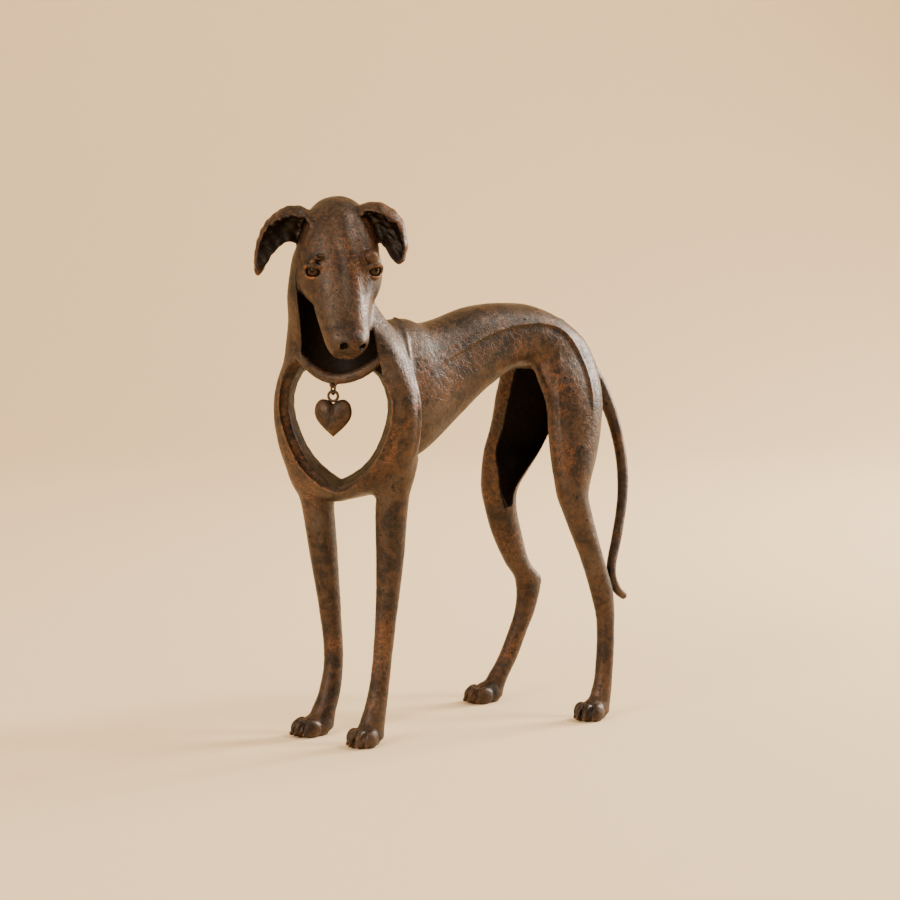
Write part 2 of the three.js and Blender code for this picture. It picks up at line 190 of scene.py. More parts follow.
class Frame:
    """Three directions and a middle: local points are measured along the directions."""

    def __init__(self, middle, side, ahead, up):
        self.middle = np.array(middle, float)
        self.axes = np.stack([side, ahead, up])

    def local(self, points):
        return (points - self.middle) @ self.axes.T

    def world(self, points):
        return self.middle + np.asarray(points, float) @ self.axes


dog_frame = Frame((0, 0, 0), *np.eye(3))
chest_frame = Frame((0, 0, 0), chest_to_dog(1, 0), chest_to_dog(0, 1), upward)
head_frame = Frame(
    HEAD_CENTRE,
    np.array([-facing[1], facing[0], 0]),
    math.cos(HEAD_DROP) * facing - math.sin(HEAD_DROP) * upward,
    math.sin(HEAD_DROP) * facing + math.cos(HEAD_DROP) * upward,
)
print("muzzle points along", head_frame.axes[1].round(3))


# %% Sections stacked along one axis
class Sections:
    """Rows of place, two middles and two half sizes. The other two axes keep their order."""

    def __init__(self, rows, axis=2, power=2.0, frame=dog_frame):
        run = smooth_rows(rows)
        self.run = run[np.argsort(run[:, 0], kind="stable")]
        self.axis, self.power, self.frame = axis, power, frame
        self.across = [k for k in range(3) if k != axis]
        slope = np.gradient(self.run[:, 1:], self.run[:, 0], axis=0)
        self.lean = np.minimum(np.sqrt((slope ** 2 @ [1, 1, 0.5, 0.5])), 2.0)
        corners = np.zeros((4, len(self.run), 3))
        for n, (u, v) in enumerate([(-1, -1), (-1, 1), (1, -1), (1, 1)]):
            corners[n, :, axis] = self.run[:, 0]
            corners[n, :, self.across[0]] = self.run[:, 1] + u * self.run[:, 3]
            corners[n, :, self.across[1]] = self.run[:, 2] + v * self.run[:, 4]
        world = frame.world(corners.reshape(-1, 3))
        self.low, self.high = world.min(0), world.max(0)

    def distance(self, points):
        local = self.frame.local(points)
        along = local[:, self.axis]
        held = np.clip(along, self.run[0, 0], self.run[-1, 0])
        middle_a, middle_b, half_a, half_b, lean = (
            np.interp(held, self.run[:, 0], column) for column in [*self.run[:, 1:].T, self.lean])
        a = local[:, self.across[0]] - middle_a
        b = local[:, self.across[1]] - middle_b
        near = (np.abs(a / half_a) ** self.power + np.abs(b / half_b) ** self.power) ** (1 / self.power)
        if self.power == 2.0:
            slope = np.sqrt((a / half_a ** 2) ** 2 + (b / half_b ** 2) ** 2) + 1e-9
            distance = near * (near - 1) / slope
        else:
            distance = (near - 1) * np.minimum(half_a, half_b)
        distance = distance / np.sqrt(1 + lean ** 2)
        past = np.abs(along - held)
        return np.where(past > 0, np.hypot(np.maximum(distance, 0), past), distance)


# %% Tubes and eggs
class Tube:
    """Rows of x, y, z and radius along a path."""

    def __init__(self, rows, frame=dog_frame, between=5):
        run = smooth_rows(rows, between)
        self.path, self.radius = frame.world(run[:, :3]), run[:, 3]
        reach = self.radius[:, None]
        self.low, self.high = (self.path - reach).min(0), (self.path + reach).max(0)

    def distance(self, points):
        best = np.full(len(points), 1e9)
        for start, end, r0, r1 in zip(self.path[:-1], self.path[1:], self.radius[:-1], self.radius[1:]):
            step = end - start
            t = np.clip((points - start) @ step / (step @ step), 0, 1)
            off = points - start - t[:, None] * step
            best = np.minimum(best, np.sqrt((off * off).sum(1)) - r0 - t * (r1 - r0))
        return best


class Egg:
    """A ball stretched along the axes of its frame."""

    def __init__(self, at, size, frame=dog_frame):
        self.at, self.size, self.frame = np.array(at, float), np.array(size, float), frame
        reach = self.size.max()
        middle = frame.world(self.at)
        self.low, self.high = middle - reach, middle + reach

    def distance(self, points):
        return egg_distance(self.frame.local(points) - self.at, self.size)


# %% [markdown]
# ## Torso
# A greyhound's chest is deep and its belly is drawn up high behind it. The sections run from the shoulders
# to the root of the tail.

# %% Torso sections
TORSO = [
    [9, 10, 178, 8, 14], [14, 8, 173.2, 13, 21.6], [22, 5, 166.8, 19, 30.2], [35, 3, 164.6, 20.5, 33.2],
    [45, 2.5, 165, 19.5, 30.2], [58, 2, 170.4, 18, 26.5], [71, 2, 177.3, 17, 23.4],
    [84, 2, 182.8, 16.5, 19.8], [98, 2, 186.4, 16.5, 16.4], [112, 2, 185.6, 17.5, 15.7],
    [126, 2, 180.2, 17.8, 15.6], [138.4, 2, 172.9, 15, 14.1], [148, 2, 167, 10.6, 10.8],
    [153, 2, 165.5, 5.5, 6.5],
]
torso = Sections(TORSO, axis=1, power=2.2)

# %% [markdown]
# ## Chest and neck
# These are one shell, turned 20 degrees to the dog's left. Its sections are stacked upwards and are squarer
# than an ellipse, which gives the flat side and the crisp shoulder of the real piece.

# %% Chest, neck and the hollow of the neck
CHEST = [
    [112.5, -9, 10, 6, 5], [116, -6.6, 10.3, 17, 9], [121, -3, 10, 28.5, 11.4], [128, -0.5, 9, 34, 12.2],
    [138, -0.5, 8.5, 37.6, 12.5], [148, -0.5, 8, 39.4, 12.5], [158, -0.5, 7.5, 39.4, 12.5],
    [168, -0.5, 7.5, 37.2, 13], [178, 0, 7, 33, 14], [188, -1, 6, 29.3, 14.5], [198, -3, 4, 24.4, 15],
    [208, -5.4, 1.5, 20.2, 15], [218, -5.6, 1, 18.2, 15], [228, -5, 0.5, 16.5, 14], [236, -5, 0, 12, 11],
]
NECK_HOLLOW = [
    [170, 3, -4, 20, 14], [174, 4.2, -4, 22, 14.5], [180, 4.2, -4, 21, 15.5], [188, 4, -5, 19.4, 16.5],
    [198, 3, -6, 17.6, 17], [208, 1.2, -8, 15.4, 16.5], [220, -0.8, -10, 13.2, 15], [230, -3.5, -10, 8, 10],
]
chest = Sections(CHEST, power=2.6, frame=chest_frame)
neck_hollow = Sections(NECK_HOLLOW, frame=chest_frame)

# %% [markdown]
# ## The heart window
# The window goes right through the chest and leaves it behind the right shoulder. Its outline is drawn
# once, in the plane of the chest. In front it opens out in a bevel up to a crisp ridge, and behind it
# slides sideways, so that light comes through when one looks from the dog's front left.

# %% Window outline and the cut through the chest
WINDOW_HALF = [
    [0, 122.6], [5.8, 125.3], [11.2, 128.8], [15.8, 133], [19.4, 138], [22.6, 144], [24.9, 150],
    [26.1, 156], [25.8, 161.5], [24.2, 167], [21.2, 172], [17, 175], [9, 172],
]
WINDOW_TOP = 170.6
WINDOW_SIDE = -0.6
BEVEL_WIDTH = 5.6
BEVEL = [[-0.6, 5.6], [2.2, 3.0], [16, 0.3], [30, 0]]
WALL_FRONT = 2.2
BEAD_HEIGHT = 0.6
BEAD_WIDTH = 1.5
BEAD_BACK = 5
BEAD_TOP = 181
WAY_THROUGH_SLIDE = 0.625
WAY_THROUGH_DROP = 0.07
WAY_THROUGH_END = 64


class Window:
    low, high = chest_frame.middle + [-60, -30, 100], chest_frame.middle + [50, 75, 190]

    def __init__(self):
        right = np.array(WINDOW_HALF, float)
        left = right[:0:-1] * [-1, 1]
        self.outline = np.concatenate([right, [[0, WINDOW_TOP]], left])

    def distance(self, points):
        side, behind, height = chest_frame.local(points).T
        depth = np.maximum(behind - WALL_FRONT, 0)
        slid = side - WINDOW_SIDE + WAY_THROUGH_SLIDE * depth
        flat = np.stack([slid, height + WAY_THROUGH_DROP * depth], 1)
        bevel = np.interp(behind, *np.transpose(BEVEL))
        return np.maximum(outline_distance(flat, self.outline) - bevel, behind - WAY_THROUGH_END)

    def raise_bead(self, field, points):
        """A thin bead on the front of the chest, where the bevel will start."""
        here = close_to(points, self)
        side, behind, height = chest_frame.local(points[here]).T
        gap = outline_distance(np.stack([side - WINDOW_SIDE, height], 1), self.outline) - BEVEL_WIDTH
        front = np.clip((BEAD_BACK - behind) / 3, 0, 1) * np.clip((BEAD_TOP - height) / 6, 0, 1)
        field[here] -= BEAD_HEIGHT * np.clip(1 - np.abs(gap) / BEAD_WIDTH, 0, 1) * front


def outline_distance(flat, outline):
    """Distance to a closed flat outline, negative inside."""
    best = np.full(len(flat), 1e9)
    inside = np.zeros(len(flat), bool)
    for start, end in zip(outline, np.roll(outline, -1, 0)):
        step = end - start
        t = np.clip((flat - start) @ step / (step @ step), 0, 1)
        best = np.minimum(best, np.hypot(*(flat - start - t[:, None] * step).T))
        crosses = (start[1] > flat[:, 1]) != (end[1] > flat[:, 1])
        reach = start[0] + (flat[:, 1] - start[1]) / (step[1] or 1e-9) * step[0]
        inside ^= crosses & (flat[:, 0] < reach)
    return np.where(inside, -best, best)


window = Window()

# %% [markdown]
# ## Legs and tail
# The legs are long stacks of sections, thin at the pasterns. The hind legs are half shells, hollow on their
# inner sides, with a rim and a thin outer wall. The tail hangs behind the left hind leg and its end
# flicks out past the hock.

# %% Leg stations
LEFT_FORELEG = [
    [134, 17.6, 21.2, 9, 9.4], [118, 16.8, 19.6, 8.2, 7.7], [107, 16, 18.9, 7.4, 7.6],
    [87, 16.4, 17.8, 6.2, 6.8], [68, 16.9, 15.9, 5.2, 5.6], [50, 17.2, 13.7, 4.5, 4.9],
    [38, 17.3, 12.2, 4.3, 4.7], [27, 17.3, 10.6, 4.4, 4.8], [18, 17.2, 8.8, 4.8, 5.4],
    [10, 17, 6.8, 5.4, 6.2], [3, 17, 6.4, 5.2, 5.8],
]
RIGHT_FORELEG = [
    [134, -25.4, 4.2, 9.6, 10], [118, -25.2, 4.5, 9, 9.2], [109, -23.4, 4.8, 7.8, 7.8],
    [88, -21.2, 6.2, 6.7, 6.9], [66, -19.3, 7.9, 5.3, 5.7], [48, -18.3, 9.3, 4.5, 4.9],
    [34, -17.6, 9.4, 4.4, 4.8], [20, -17.2, 6.8, 4.8, 5.4], [11, -17, 3, 5.4, 6.2], [3, -17, 2, 5.2, 5.8],
]
LEFT_HINDLEG = [
    [193, 7, 120, 5, 9], [184, 11, 123.6, 8, 15], [170, 15.5, 125.6, 10.5, 17.6],
    [155, 21.5, 126, 10, 16.2], [140, 25, 123.4, 9.2, 14.8], [128, 27.2, 121, 8.6, 12.7],
    [118, 29, 118.8, 7.6, 10], [110, 30.2, 118, 6.8, 8.4], [102, 31.2, 120, 6.2, 7.6],
    [88, 32.3, 124.8, 5.6, 6.7], [78, 32.8, 128.6, 5.2, 6], [66, 33.3, 132.8, 5, 6.2],
    [58, 33.6, 134.8, 4.8, 5.7], [50, 33.9, 136, 4.4, 4.7], [38, 34.3, 135.9, 4.2, 4.4],
    [20, 34.9, 134.2, 4.3, 4.6], [10, 35.4, 131.8, 4.8, 5.4], [3, 35.6, 130.6, 4.8, 5.2],
]
RIGHT_HINDLEG = [
    [192, -4, 121, 5, 9], [184, -8, 124.5, 8, 15], [170, -13.5, 127.8, 10.5, 16.8],
    [155, -18.5, 128.4, 10, 17.4], [140, -21.2, 128, 9.4, 18.4], [128, -24, 125, 8.8, 17.4],
    [118, -26, 122, 7.9, 14.4], [108.5, -27, 119, 7.1, 10.8], [99.5, -27.5, 119.6, 6.5, 8.9],
    [85.5, -28, 124, 5.8, 8.4], [70, -28, 130.8, 5.3, 6.8], [60, -28, 138, 5, 7.3],
    [46, -28.3, 136.9, 4.5, 5.7], [35, -28.6, 132.3, 4.3, 5.1], [21, -29, 125.6, 4.4, 5.2],
    [11, -29.4, 119, 4.8, 5.6], [3, -29.6, 116, 4.8, 5.2],
]
TAIL = [
    [2, 147, 172, 5], [4, 154.2, 164, 4], [7.8, 159.8, 150, 3.4], [12.8, 161.4, 136, 3],
    [18.3, 160.3, 120, 2.8], [23.4, 155.8, 104, 2.6], [28, 148.6, 88, 2.5], [31.4, 142.4, 76, 2.4],
    [33, 141, 68.6, 2.3], [33.4, 144, 62, 2.2], [33.4, 148, 58.6, 2],
]
HOCK_POINT = ([-28, 142.4, 59.6], [3.4, 3.2, 3.0])
legs = [Sections(rows) for rows in (LEFT_FORELEG, RIGHT_FORELEG, LEFT_HINDLEG, RIGHT_HINDLEG)]
hock_point = Egg(*HOCK_POINT)
tail = Tube(TAIL)

# %% The hollows on the inner sides of the hind legs
HOLLOW_LOW = 98
HOLLOW_TOP = 178
HOLLOW_RIM = 3.2
HOLLOW_WALL = 2.8
HOLLOW_RUNOUT = 30
HOLLOW_NARROWS = 0.55
HOLLOW_REACH = 4


def leg_hollow(rows, inward):
    """The leg's own sections, smaller by the rim and moved through its inner side."""
    hollow = []
    for height, x, y, half_x, half_y in rows:
        if HOLLOW_LOW < height < HOLLOW_TOP:
            full = min(1, (height - HOLLOW_LOW) / HOLLOW_RUNOUT)
            inner_side = half_x * (1 - full) - (half_x - HOLLOW_WALL) * full
            half = half_x + HOLLOW_REACH
            narrow = HOLLOW_NARROWS + (1 - HOLLOW_NARROWS) * full
            middle = x + inward * (inner_side + half)
            hollow.append([height, middle, y, half, (half_y - HOLLOW_RIM) * narrow])
    return Sections(hollow, power=2.6)


leg_hollows = [leg_hollow(LEFT_HINDLEG, -1), leg_hollow(RIGHT_HINDLEG, 1)]

# %% [markdown]
# ## Paws
# Each paw is a low egg with four toes pressed onto it. The toes stay separate enough for the grooves
# between them to catch shadow, and a claw tips each one.

# %% Paws, toes and claws
PAWS = [[17.4, 3.6, 20], [-16.8, -2.2, -5], [35.8, 127.4, 16], [-29.8, 112.8, -6]]
INSTEP = ([5.9, 7.6, 6.2], 4.2)
TOES = [[-5, -4.4], [-1.8, -7.4], [1.8, -7.4], [5, -4.4]]
TOE = ([2.5, 4.7, 4.5], 4)
CLAW = [0.85, 1.5, 1.2]
TOE_GROOVES = [-3.5, 0, 3.5]
TOE_GROOVE = [[1.1, -12.5, 0.5, 0.75], [1.08, -10.2, 4.4, 0.7], [1, -6.5, 8.2, 0.6], [0.8, -2.5, 10.4, 0.35]]


def paw_place(x, y, turn):
    turn_cos, turn_sin = math.cos(math.radians(turn)), math.sin(math.radians(turn))
    return Frame((x, y, 0), (turn_cos, turn_sin, 0), (-turn_sin, turn_cos, 0), upward)


def paw_lumps(place):
    """The instep, the toes and the claws, each in a list of its own with its rounding."""
    size, middle = INSTEP
    lumps = [([Egg([0, 0.4, middle], size, place)], 2.0)]
    size, middle = TOE
    for side, ahead in TOES:
        lumps.append(([Egg([side, ahead, middle], size, place)], 0.5))
        lumps.append(([Egg([side * 1.04, ahead - 4.2, 1.9], CLAW, place)], 0.3))
    return lumps


def paw_grooves(place):
    """Three cuts between the toes, from the floor up over the front and back along the instep."""
    return [Tube([[side * spread, *rest] for spread, *rest in TOE_GROOVE], place) for side in TOE_GROOVES]


paw_places = [paw_place(*paw) for paw in PAWS]
paws = [lump for place in paw_places for lump in paw_lumps(place)]
toe_grooves = [groove for place in paw_places for groove in paw_grooves(place)]

# %% [markdown]
# ## Head
# A long skull that tapers into the muzzle, built along the muzzle's own line. Brows, cheeks, lids and the
# nose are pressed on, and the sockets, nostrils and mouth are cut in.

# %% Skull, brows, cheeks and nose
SKULL = [
    [-25.5, 0, 0, 5, 5], [-23.5, 0, 0, 9.5, 9.5], [-17.6, 0, 0.2, 14.3, 13.4], [-10, 0, 0.3, 17.2, 15],
    [0, 0, -0.6, 18.4, 15.2], [8, 0, -2, 18, 14.8], [16, 0, -3.4, 16.4, 13.4], [24, -0.4, -4.4, 14.0, 11.4],
    [33, -0.8, -5, 12.2, 9.8], [42, -0.6, -5.2, 10.9, 8.8], [49, -0.4, -5.2, 9.6, 8],
    [53, -1, -5.6, 6.8, 6],
]
EYE_AT = np.array([13.4, 14, 3.2])
EYE_RADIUS = 3.6
EYE_LOOKS = np.array([0.44, 0.54, 0.72])
skull = Sections(SKULL, axis=1, power=2.15, frame=head_frame)


def both_sides(at, size):
    return [Egg([side * at[0], at[1], at[2]], size, head_frame) for side in (-1, 1)]


cheeks = both_sides([12.6, 8, -7], [7.2, 15, 9])
left_brow = Egg([12.4, 10.9, 9.9], [3.5, 3.4, 3.4], head_frame)
BROW_TUFTS = [
    ([-17.2, 13.6, 5.8], [1.5, 1.5, 1.6]), ([-14.6, 12.8, 8.2], [1.7, 1.5, 1.7]),
    ([-11.6, 11.2, 10.2], [1.9, 1.6, 1.6]),
]
right_brows = [Egg(at, size, head_frame) for at, size in BROW_TUFTS]
nose = Egg([1.2, 50.2, -2.2], [6.4, 4.6, 5.2], head_frame)
chin = Egg([-0.4, 47, -9], [5.8, 6, 4], head_frame)


# %% Eye sockets, lids, nostrils and mouth
def eye_frame(side):
    look = EYE_LOOKS * [side, 1, 1]
    look = look / np.linalg.norm(look)
    along = np.array([1.0, 0, 0]) - look[0] * look
    along /= np.linalg.norm(along)
    lift = np.cross(along, look)
    middle = head_frame.world(EYE_AT * [side, 1, 1])
    return Frame(middle, along @ head_frame.axes, look @ head_frame.axes, lift @ head_frame.axes)


eye_frames = [eye_frame(side) for side in (-1, 1)]
LID_SIZE = [5.4, 4.3, 4.7]
LID_GAP = ([0, 3.4, -0.2], [3.6, 3.4, 2.6])
UPPER_LID = [
    [-5.4, 0.6, -0.8, 0.6], [-3.2, 2.7, 1.6, 1.1], [0, 3.7, 2.5, 1.25], [3.2, 2.7, 1.6, 1.1],
    [5.4, 0.6, -0.8, 0.6],
]
LOWER_LID = [
    [-5.2, 0.6, -0.6, 0.45], [-2.8, 2.4, -2.7, 0.65], [0.3, 3.0, -3.3, 0.75], [3.0, 2.2, -2.6, 0.65],
    [5.2, 0.6, -0.6, 0.45],
]
lids = [Egg([0, -0.4, 0], LID_SIZE, place) for place in eye_frames]
lid_gaps = [Egg(*LID_GAP, place) for place in eye_frames]
lid_rims = [Tube(rows, place) for place in eye_frames for rows in (UPPER_LID, LOWER_LID)]
EYE_CLEARANCE = 0.1
NOSTRILS = [
    ([-2.7, 54, 0.2], [1.5, 2.2, 1.2]), ([-3.8, 53.4, -0.9], [0.9, 1.8, 1.6]),
    ([5.0, 52.6, -1.2], [1.4, 2.2, 1.2]), ([6.2, 51.8, -2.4], [0.9, 1.8, 1.6]),
]
eye_rooms = [Egg([0, 0, 0], [EYE_RADIUS + EYE_CLEARANCE] * 3, place) for place in eye_frames]
under_eyes = both_sides([16.4, 23, 2.6], [1.8, 4.2, 2.4])
nostrils = [Egg(at, size, head_frame) for at, size in NOSTRILS]
MOUTH = [[0.2, 53.5, -8.4], [5.6, 49, -9.4], [8, 40, -9.6], [9.6, 30, -9.4], [11.2, 20, -9]]
mouths = [Tube([[side * x - 1, y, z, 0.5] for x, y, z in MOUTH], head_frame) for side in (-1, 1)]

# %% [markdown]
# ## Ears
# Each ear is a folded leaf. Its back is a rounded tube that thins towards the tip, and its inside is a
# second tube, moved towards the face and carved out.

# %% Ears
RIGHT_EAR = [
    [-9, -9, 239.4, 8.2], [-14.4, -14, 242.6, 8.6], [-17.8, -20.6, 240.2, 6.9], [-19.6, -26, 232.9, 4.9],
    [-20.2, -29.4, 224.8, 3.1], [-20.2, -30.5, 220.4, 1.6],
]
LEFT_EAR = [
    [3, 10, 242.6, 7], [8.2, 15.2, 245.6, 7.6], [13.2, 19.4, 241.2, 7.4], [16.8, 21.2, 234, 5.7],
    [18.6, 21.6, 227.2, 2.9],
]
EAR_HOLLOW = np.array([3.6, -3.4, -3.2])
EAR_THICKNESS = 1.5
EAR_CRUMPLE = 0.9


def ear_inside(rows):
    inside = []
    for n, (x, y, z, radius) in enumerate(rows):
        moved = np.array([x, y, z]) + EAR_HOLLOW * (0.4 if n == 0 else 1)
        inside.append([*moved, max(radius - EAR_THICKNESS, 0.6)])
    return Tube(inside)


class Ear:
    def __init__(self, rows):
        self.leaf, self.inside = Tube(rows), ear_inside(rows)
        self.low, self.high = self.leaf.low, self.leaf.high

    def distance(self, points):
        x, y, z = (points * [0.85, 0.7, 0.62]).T
        crumple = EAR_CRUMPLE * np.sin(x + z + 1) * np.sin(y - 0.6 * z) * np.cos(z + 0.4 * x)
        leaf, inside = self.leaf.distance(points), self.inside.distance(points)
        return -rounded_min(-(leaf + 0.5 * crumple), inside - crumple, 0.3)


ears = [Ear(RIGHT_EAR), Ear(LEFT_EAR)]

# %% [markdown]
# ## Collar
# A round band crosses the opening where the neck hollow meets the window. A staple under it holds the link.

# %% Collar and staple
COLLAR = [
    [-25.5, 2.5, 187.4], [-22, -1.5, 183.2], [-12, -6, 176.9], [-2, -7.6, 172.4], [7, -7, 171.8],
    [15, -5, 174.2], [21, -2, 178.6], [25, 1.5, 183.6],
]
COLLAR_RADIUS = 2.6
CHARM_TURN = math.radians(38)
STAPLE_RADIUS = 1.4
STAPLE_WIRE = 0.6
STAPLE_HEIGHT = 169.1
collar = Tube([[*row, COLLAR_RADIUS] for row in COLLAR], chest_frame)

across_charm = np.array([math.cos(CHARM_TURN), math.sin(CHARM_TURN), 0])
through_charm = np.array([-math.sin(CHARM_TURN), math.cos(CHARM_TURN), 0])
staple_frame = Frame(chest_to_dog(*LINK_AT, STAPLE_HEIGHT), across_charm, through_charm, upward)


class Staple:
    low = staple_frame.middle - STAPLE_RADIUS - STAPLE_WIRE
    high = staple_frame.middle + STAPLE_RADIUS + STAPLE_WIRE

    def distance(self, points):
        side, through, height = staple_frame.local(points).T
        return np.hypot(np.hypot(side, height) - STAPLE_RADIUS, through) - STAPLE_WIRE


staple = Staple()


# %% [markdown]
# ## Crisp lines drawn over the body
# The sculptor drew a few long lines: one from the flank over the thigh, one down the shoulder, one on the
# thigh's front, one along the middle of the head. Each rises as a thin ridge from whatever surface is
# there, so it only needs a path and a height. Under the flank line the side also falls in a little.

# %% Ridges
FLANK_LINE = [
    [40, 175], [47.7, 178.1], [63.8, 184.2], [74.7, 188.5], [88.3, 192], [98.7, 193.2], [110, 193],
    [119.2, 190.4], [125.6, 184.6], [129.6, 174.8], [130.6, 165.3], [129.8, 156], [128, 146],
]
FLANK_PANEL_ENDS = [[126, 100], [30, 100], [30, 170]]
FLANK_BOX = ((32, 128), (136, 200))
FLANK_SINKS = 0.8
FLANK_FADES = 13.0
FLANK_RISES = 0.5
FLANK_LINE_WIDTH = 1.3
SPINE_SIDE = 2.0
SHOULDER_LINE = [
    [10, 29.5, 200.5, 0.6], [20, 24, 195, 0.7], [26.8, 17.9, 188.5, 0.75], [32.4, 14.3, 174.5, 0.75],
    [38, 10.7, 161, 0.7], [39, 9.5, 150, 0.6], [36.8, 9, 137, 0.4],
]
THIGH_LINE = [
    [21, 117, 181, 0.3], [23.1, 115.6, 172.6, 0.6], [25.6, 112.9, 161.3, 0.6], [28.3, 111.4, 147, 0.6],
    [31.5, 110.6, 130.4, 0.5], [33, 112, 116, 0.3],
]
HEAD_LINE = [
    [-0.4, -14, 15.2, 0.4], [-0.1, -10, 15.3, 1.2], [0.7, 1.4, 14.4, 1.7], [2.6, 12.1, 11.3, 1.8],
    [3.5, 25.7, 6.1, 1.6], [4.1, 41, 2.8, 0.9], [4, 46, 1.8, 0.2],
]
RIDGE_WIDTH = 1.5


def line_distance(points, line):
    """Distance to a run of straight pieces, and how far along it the nearest place lies, from 0 to 1."""
    best, along = np.full(len(points), 1e9), np.zeros(len(points))
    for n, (start, end) in enumerate(zip(line[:-1], line[1:])):
        step = end - start
        t = np.clip((points - start) @ step / (step @ step), 0, 1)
        gap = np.sqrt(((points - start - t[:, None] * step) ** 2).sum(1))
        closer = gap < best
        best, along = np.where(closer, gap, best), np.where(closer, n + t, along)
    return best, along / (len(line) - 1)


class Ridge:
    """Rows of x, y, z and height: the surface near this path rises by the height."""

    def __init__(self, rows, frame, width=RIDGE_WIDTH):
        run = smooth_rows(rows, 4)
        self.path, self.height, self.width = frame.world(run[:, :3]), run[:, 3], width
        self.low, self.high = self.path.min(0) - width, self.path.max(0) + width

    def raise_surface(self, field, points):
        here = close_to(points, self)
        gap, along = line_distance(points[here], self.path)
        height = np.interp(along, np.linspace(0, 1, len(self.height)), self.height)
        field[here] -= height * np.clip(1 - gap / self.width, 0, 1)


flank_run = smooth_rows(FLANK_LINE, 3)
flank_panel = np.concatenate([flank_run, FLANK_PANEL_ENDS])


def draw_flank(field, points):
    """The flank line on both sides: a thin ridge, and a shallow hollow that fades out below it."""
    low, high = FLANK_BOX
    here = ((points[:, 1:] > low) & (points[:, 1:] < high)).all(1)
    flat = points[here, 1:]
    gap, along = line_distance(flat, flank_run)
    below = outline_distance(flat, flank_panel) < 0
    ends = np.clip(along / 0.15, 0, 1) * np.clip((1 - along) / 0.12, 0, 1)
    side = np.clip((np.abs(points[here, 0] - SPINE_SIDE) - 7) / 5, 0, 1)
    sink = FLANK_SINKS * np.clip(1 - gap / FLANK_FADES, 0, 1) * np.clip(gap / 0.8, 0, 1) * below
    ridge = FLANK_RISES * np.clip(1 - gap / FLANK_LINE_WIDTH, 0, 1)
    field[here] += (sink - ridge) * ends * side


HEAD_LINE_WIDTH = 5.0
body_ridges = [Ridge(SHOULDER_LINE, chest_frame), Ridge(THIGH_LINE, dog_frame)]
head_ridge = Ridge(HEAD_LINE, head_frame, HEAD_LINE_WIDTH)

# %% [markdown]
# ## All the clay together
# The order matters: body first, then the openings, then what sits on or in front of them.

# %% The whole casting as one field
def use(tool, field, points, *work):
    """Presses on or carves lists of lumps, each list with its rounding."""
    for lumps, rounding in work:
        for lump in lumps:
            tool(field, points, lump, rounding)


def greyhound_clay(points):
    field = np.full(len(points), 1e3)
    use(press_on, field, points, ([chest], 1.0), ([torso], 2.0), (legs, 4.0), ([hock_point], 1.5))
    draw_flank(field, points)
    for ridge in body_ridges:
        ridge.raise_surface(field, points)
    window.raise_bead(field, points)
    use(carve, field, points, ([window], 0.25), ([neck_hollow], 0.3), (leg_hollows, 0.5))
    use(press_on, field, points, ([skull], 2.5), (cheeks, 3.0), ([left_brow], 1.0), (right_brows, 0.9))
    use(press_on, field, points, ([chin], 2.0), ([nose], 1.2))
    head_ridge.raise_surface(field, points)
    use(press_on, field, points, (ears, 1.4))
    use(carve, field, points, (under_eyes, 1.6))
    use(press_on, field, points, (lids, 0.8))
    use(carve, field, points, ([*lid_gaps, *eye_rooms, *nostrils, *mouths], 0.3))
    use(press_on, field, points, (lid_rims, 0.4), ([collar], 0.6), ([staple], 0.4), ([tail], 1.2), *paws)
    use(carve, field, points, (toe_grooves, 0.5))
    return np.maximum(field, -points[:, 2])


# %% [markdown]
# ## From field to mesh
# The field is first asked on a coarse grid. Only cells near the surface are asked again on a fine one.
# Every fine cell that the surface crosses gets one point, at the average of the crossings, and
# neighbouring points are joined by four-sided faces.

# %% Asking the field only where the surface passes
COARSE = 4
POINTS_AT_ONCE = 300000


def sample_field(clay, low, high, step):
    counts = np.ceil((high - low) / step / COARSE).astype(int)
    cells = np.stack(np.meshgrid(*[np.arange(n) for n in counts], indexing="ij"), -1).reshape(-1, 3)
    coarse = clay(low + (cells + 0.5) * COARSE * step)
    field = coarse.reshape(counts)
    for axis in range(3):
        field = np.repeat(field, COARSE, axis)
    near = cells[np.abs(coarse) < COARSE * step * 1.5]
    fine = np.stack(np.meshgrid(*[np.arange(COARSE)] * 3, indexing="ij"), -1).reshape(-1, 3)
    index = (near[:, None] * COARSE + fine[None]).reshape(-1, 3)
    parts = np.array_split(index, max(1, len(index) // POINTS_AT_ONCE))
    values = [clay(low + part * step) for part in parts]
    field[tuple(index.T)] = np.concatenate(values)
    return field


# %% One point for each crossed cell, one face for each crossed edge
def net_surface(field, low, step):
    inside = field < 0
    steps = [(i, j, k) for i in (0, 1) for j in (0, 1) for k in (0, 1)]
    nx, ny, nz = (n - 1 for n in field.shape)
    corners = np.stack([inside[i:nx + i, j:ny + j, k:nz + k] for i, j, k in steps])
    crossed = corners.any(0) & ~corners.all(0)
    cells = np.argwhere(crossed)
    values = np.stack([field[tuple((cells + offset).T)] for offset in steps], 1)
    corner = np.array(steps, float)
    total, count = np.zeros((len(cells), 3)), np.zeros(len(cells))
    for a in range(8):
        for b in range(a + 1, 8):
            if np.abs(corner[a] - corner[b]).sum() == 1:
                passes = (values[:, a] < 0) != (values[:, b] < 0)
                gap = np.where(passes, values[:, a] - values[:, b], 1)
                share = np.where(passes, values[:, a] / gap, 0)
                total += (corner[a] + share[:, None] * (corner[b] - corner[a])) * passes[:, None]
                count += passes
    points = low + step * (cells + total / count[:, None])
    number = np.full(crossed.shape, -1, np.int64)
    number[tuple(cells.T)] = np.arange(len(cells))
    faces = [edge_faces(inside, number, axis) for axis in range(3)]
    return points, np.concatenate(faces)


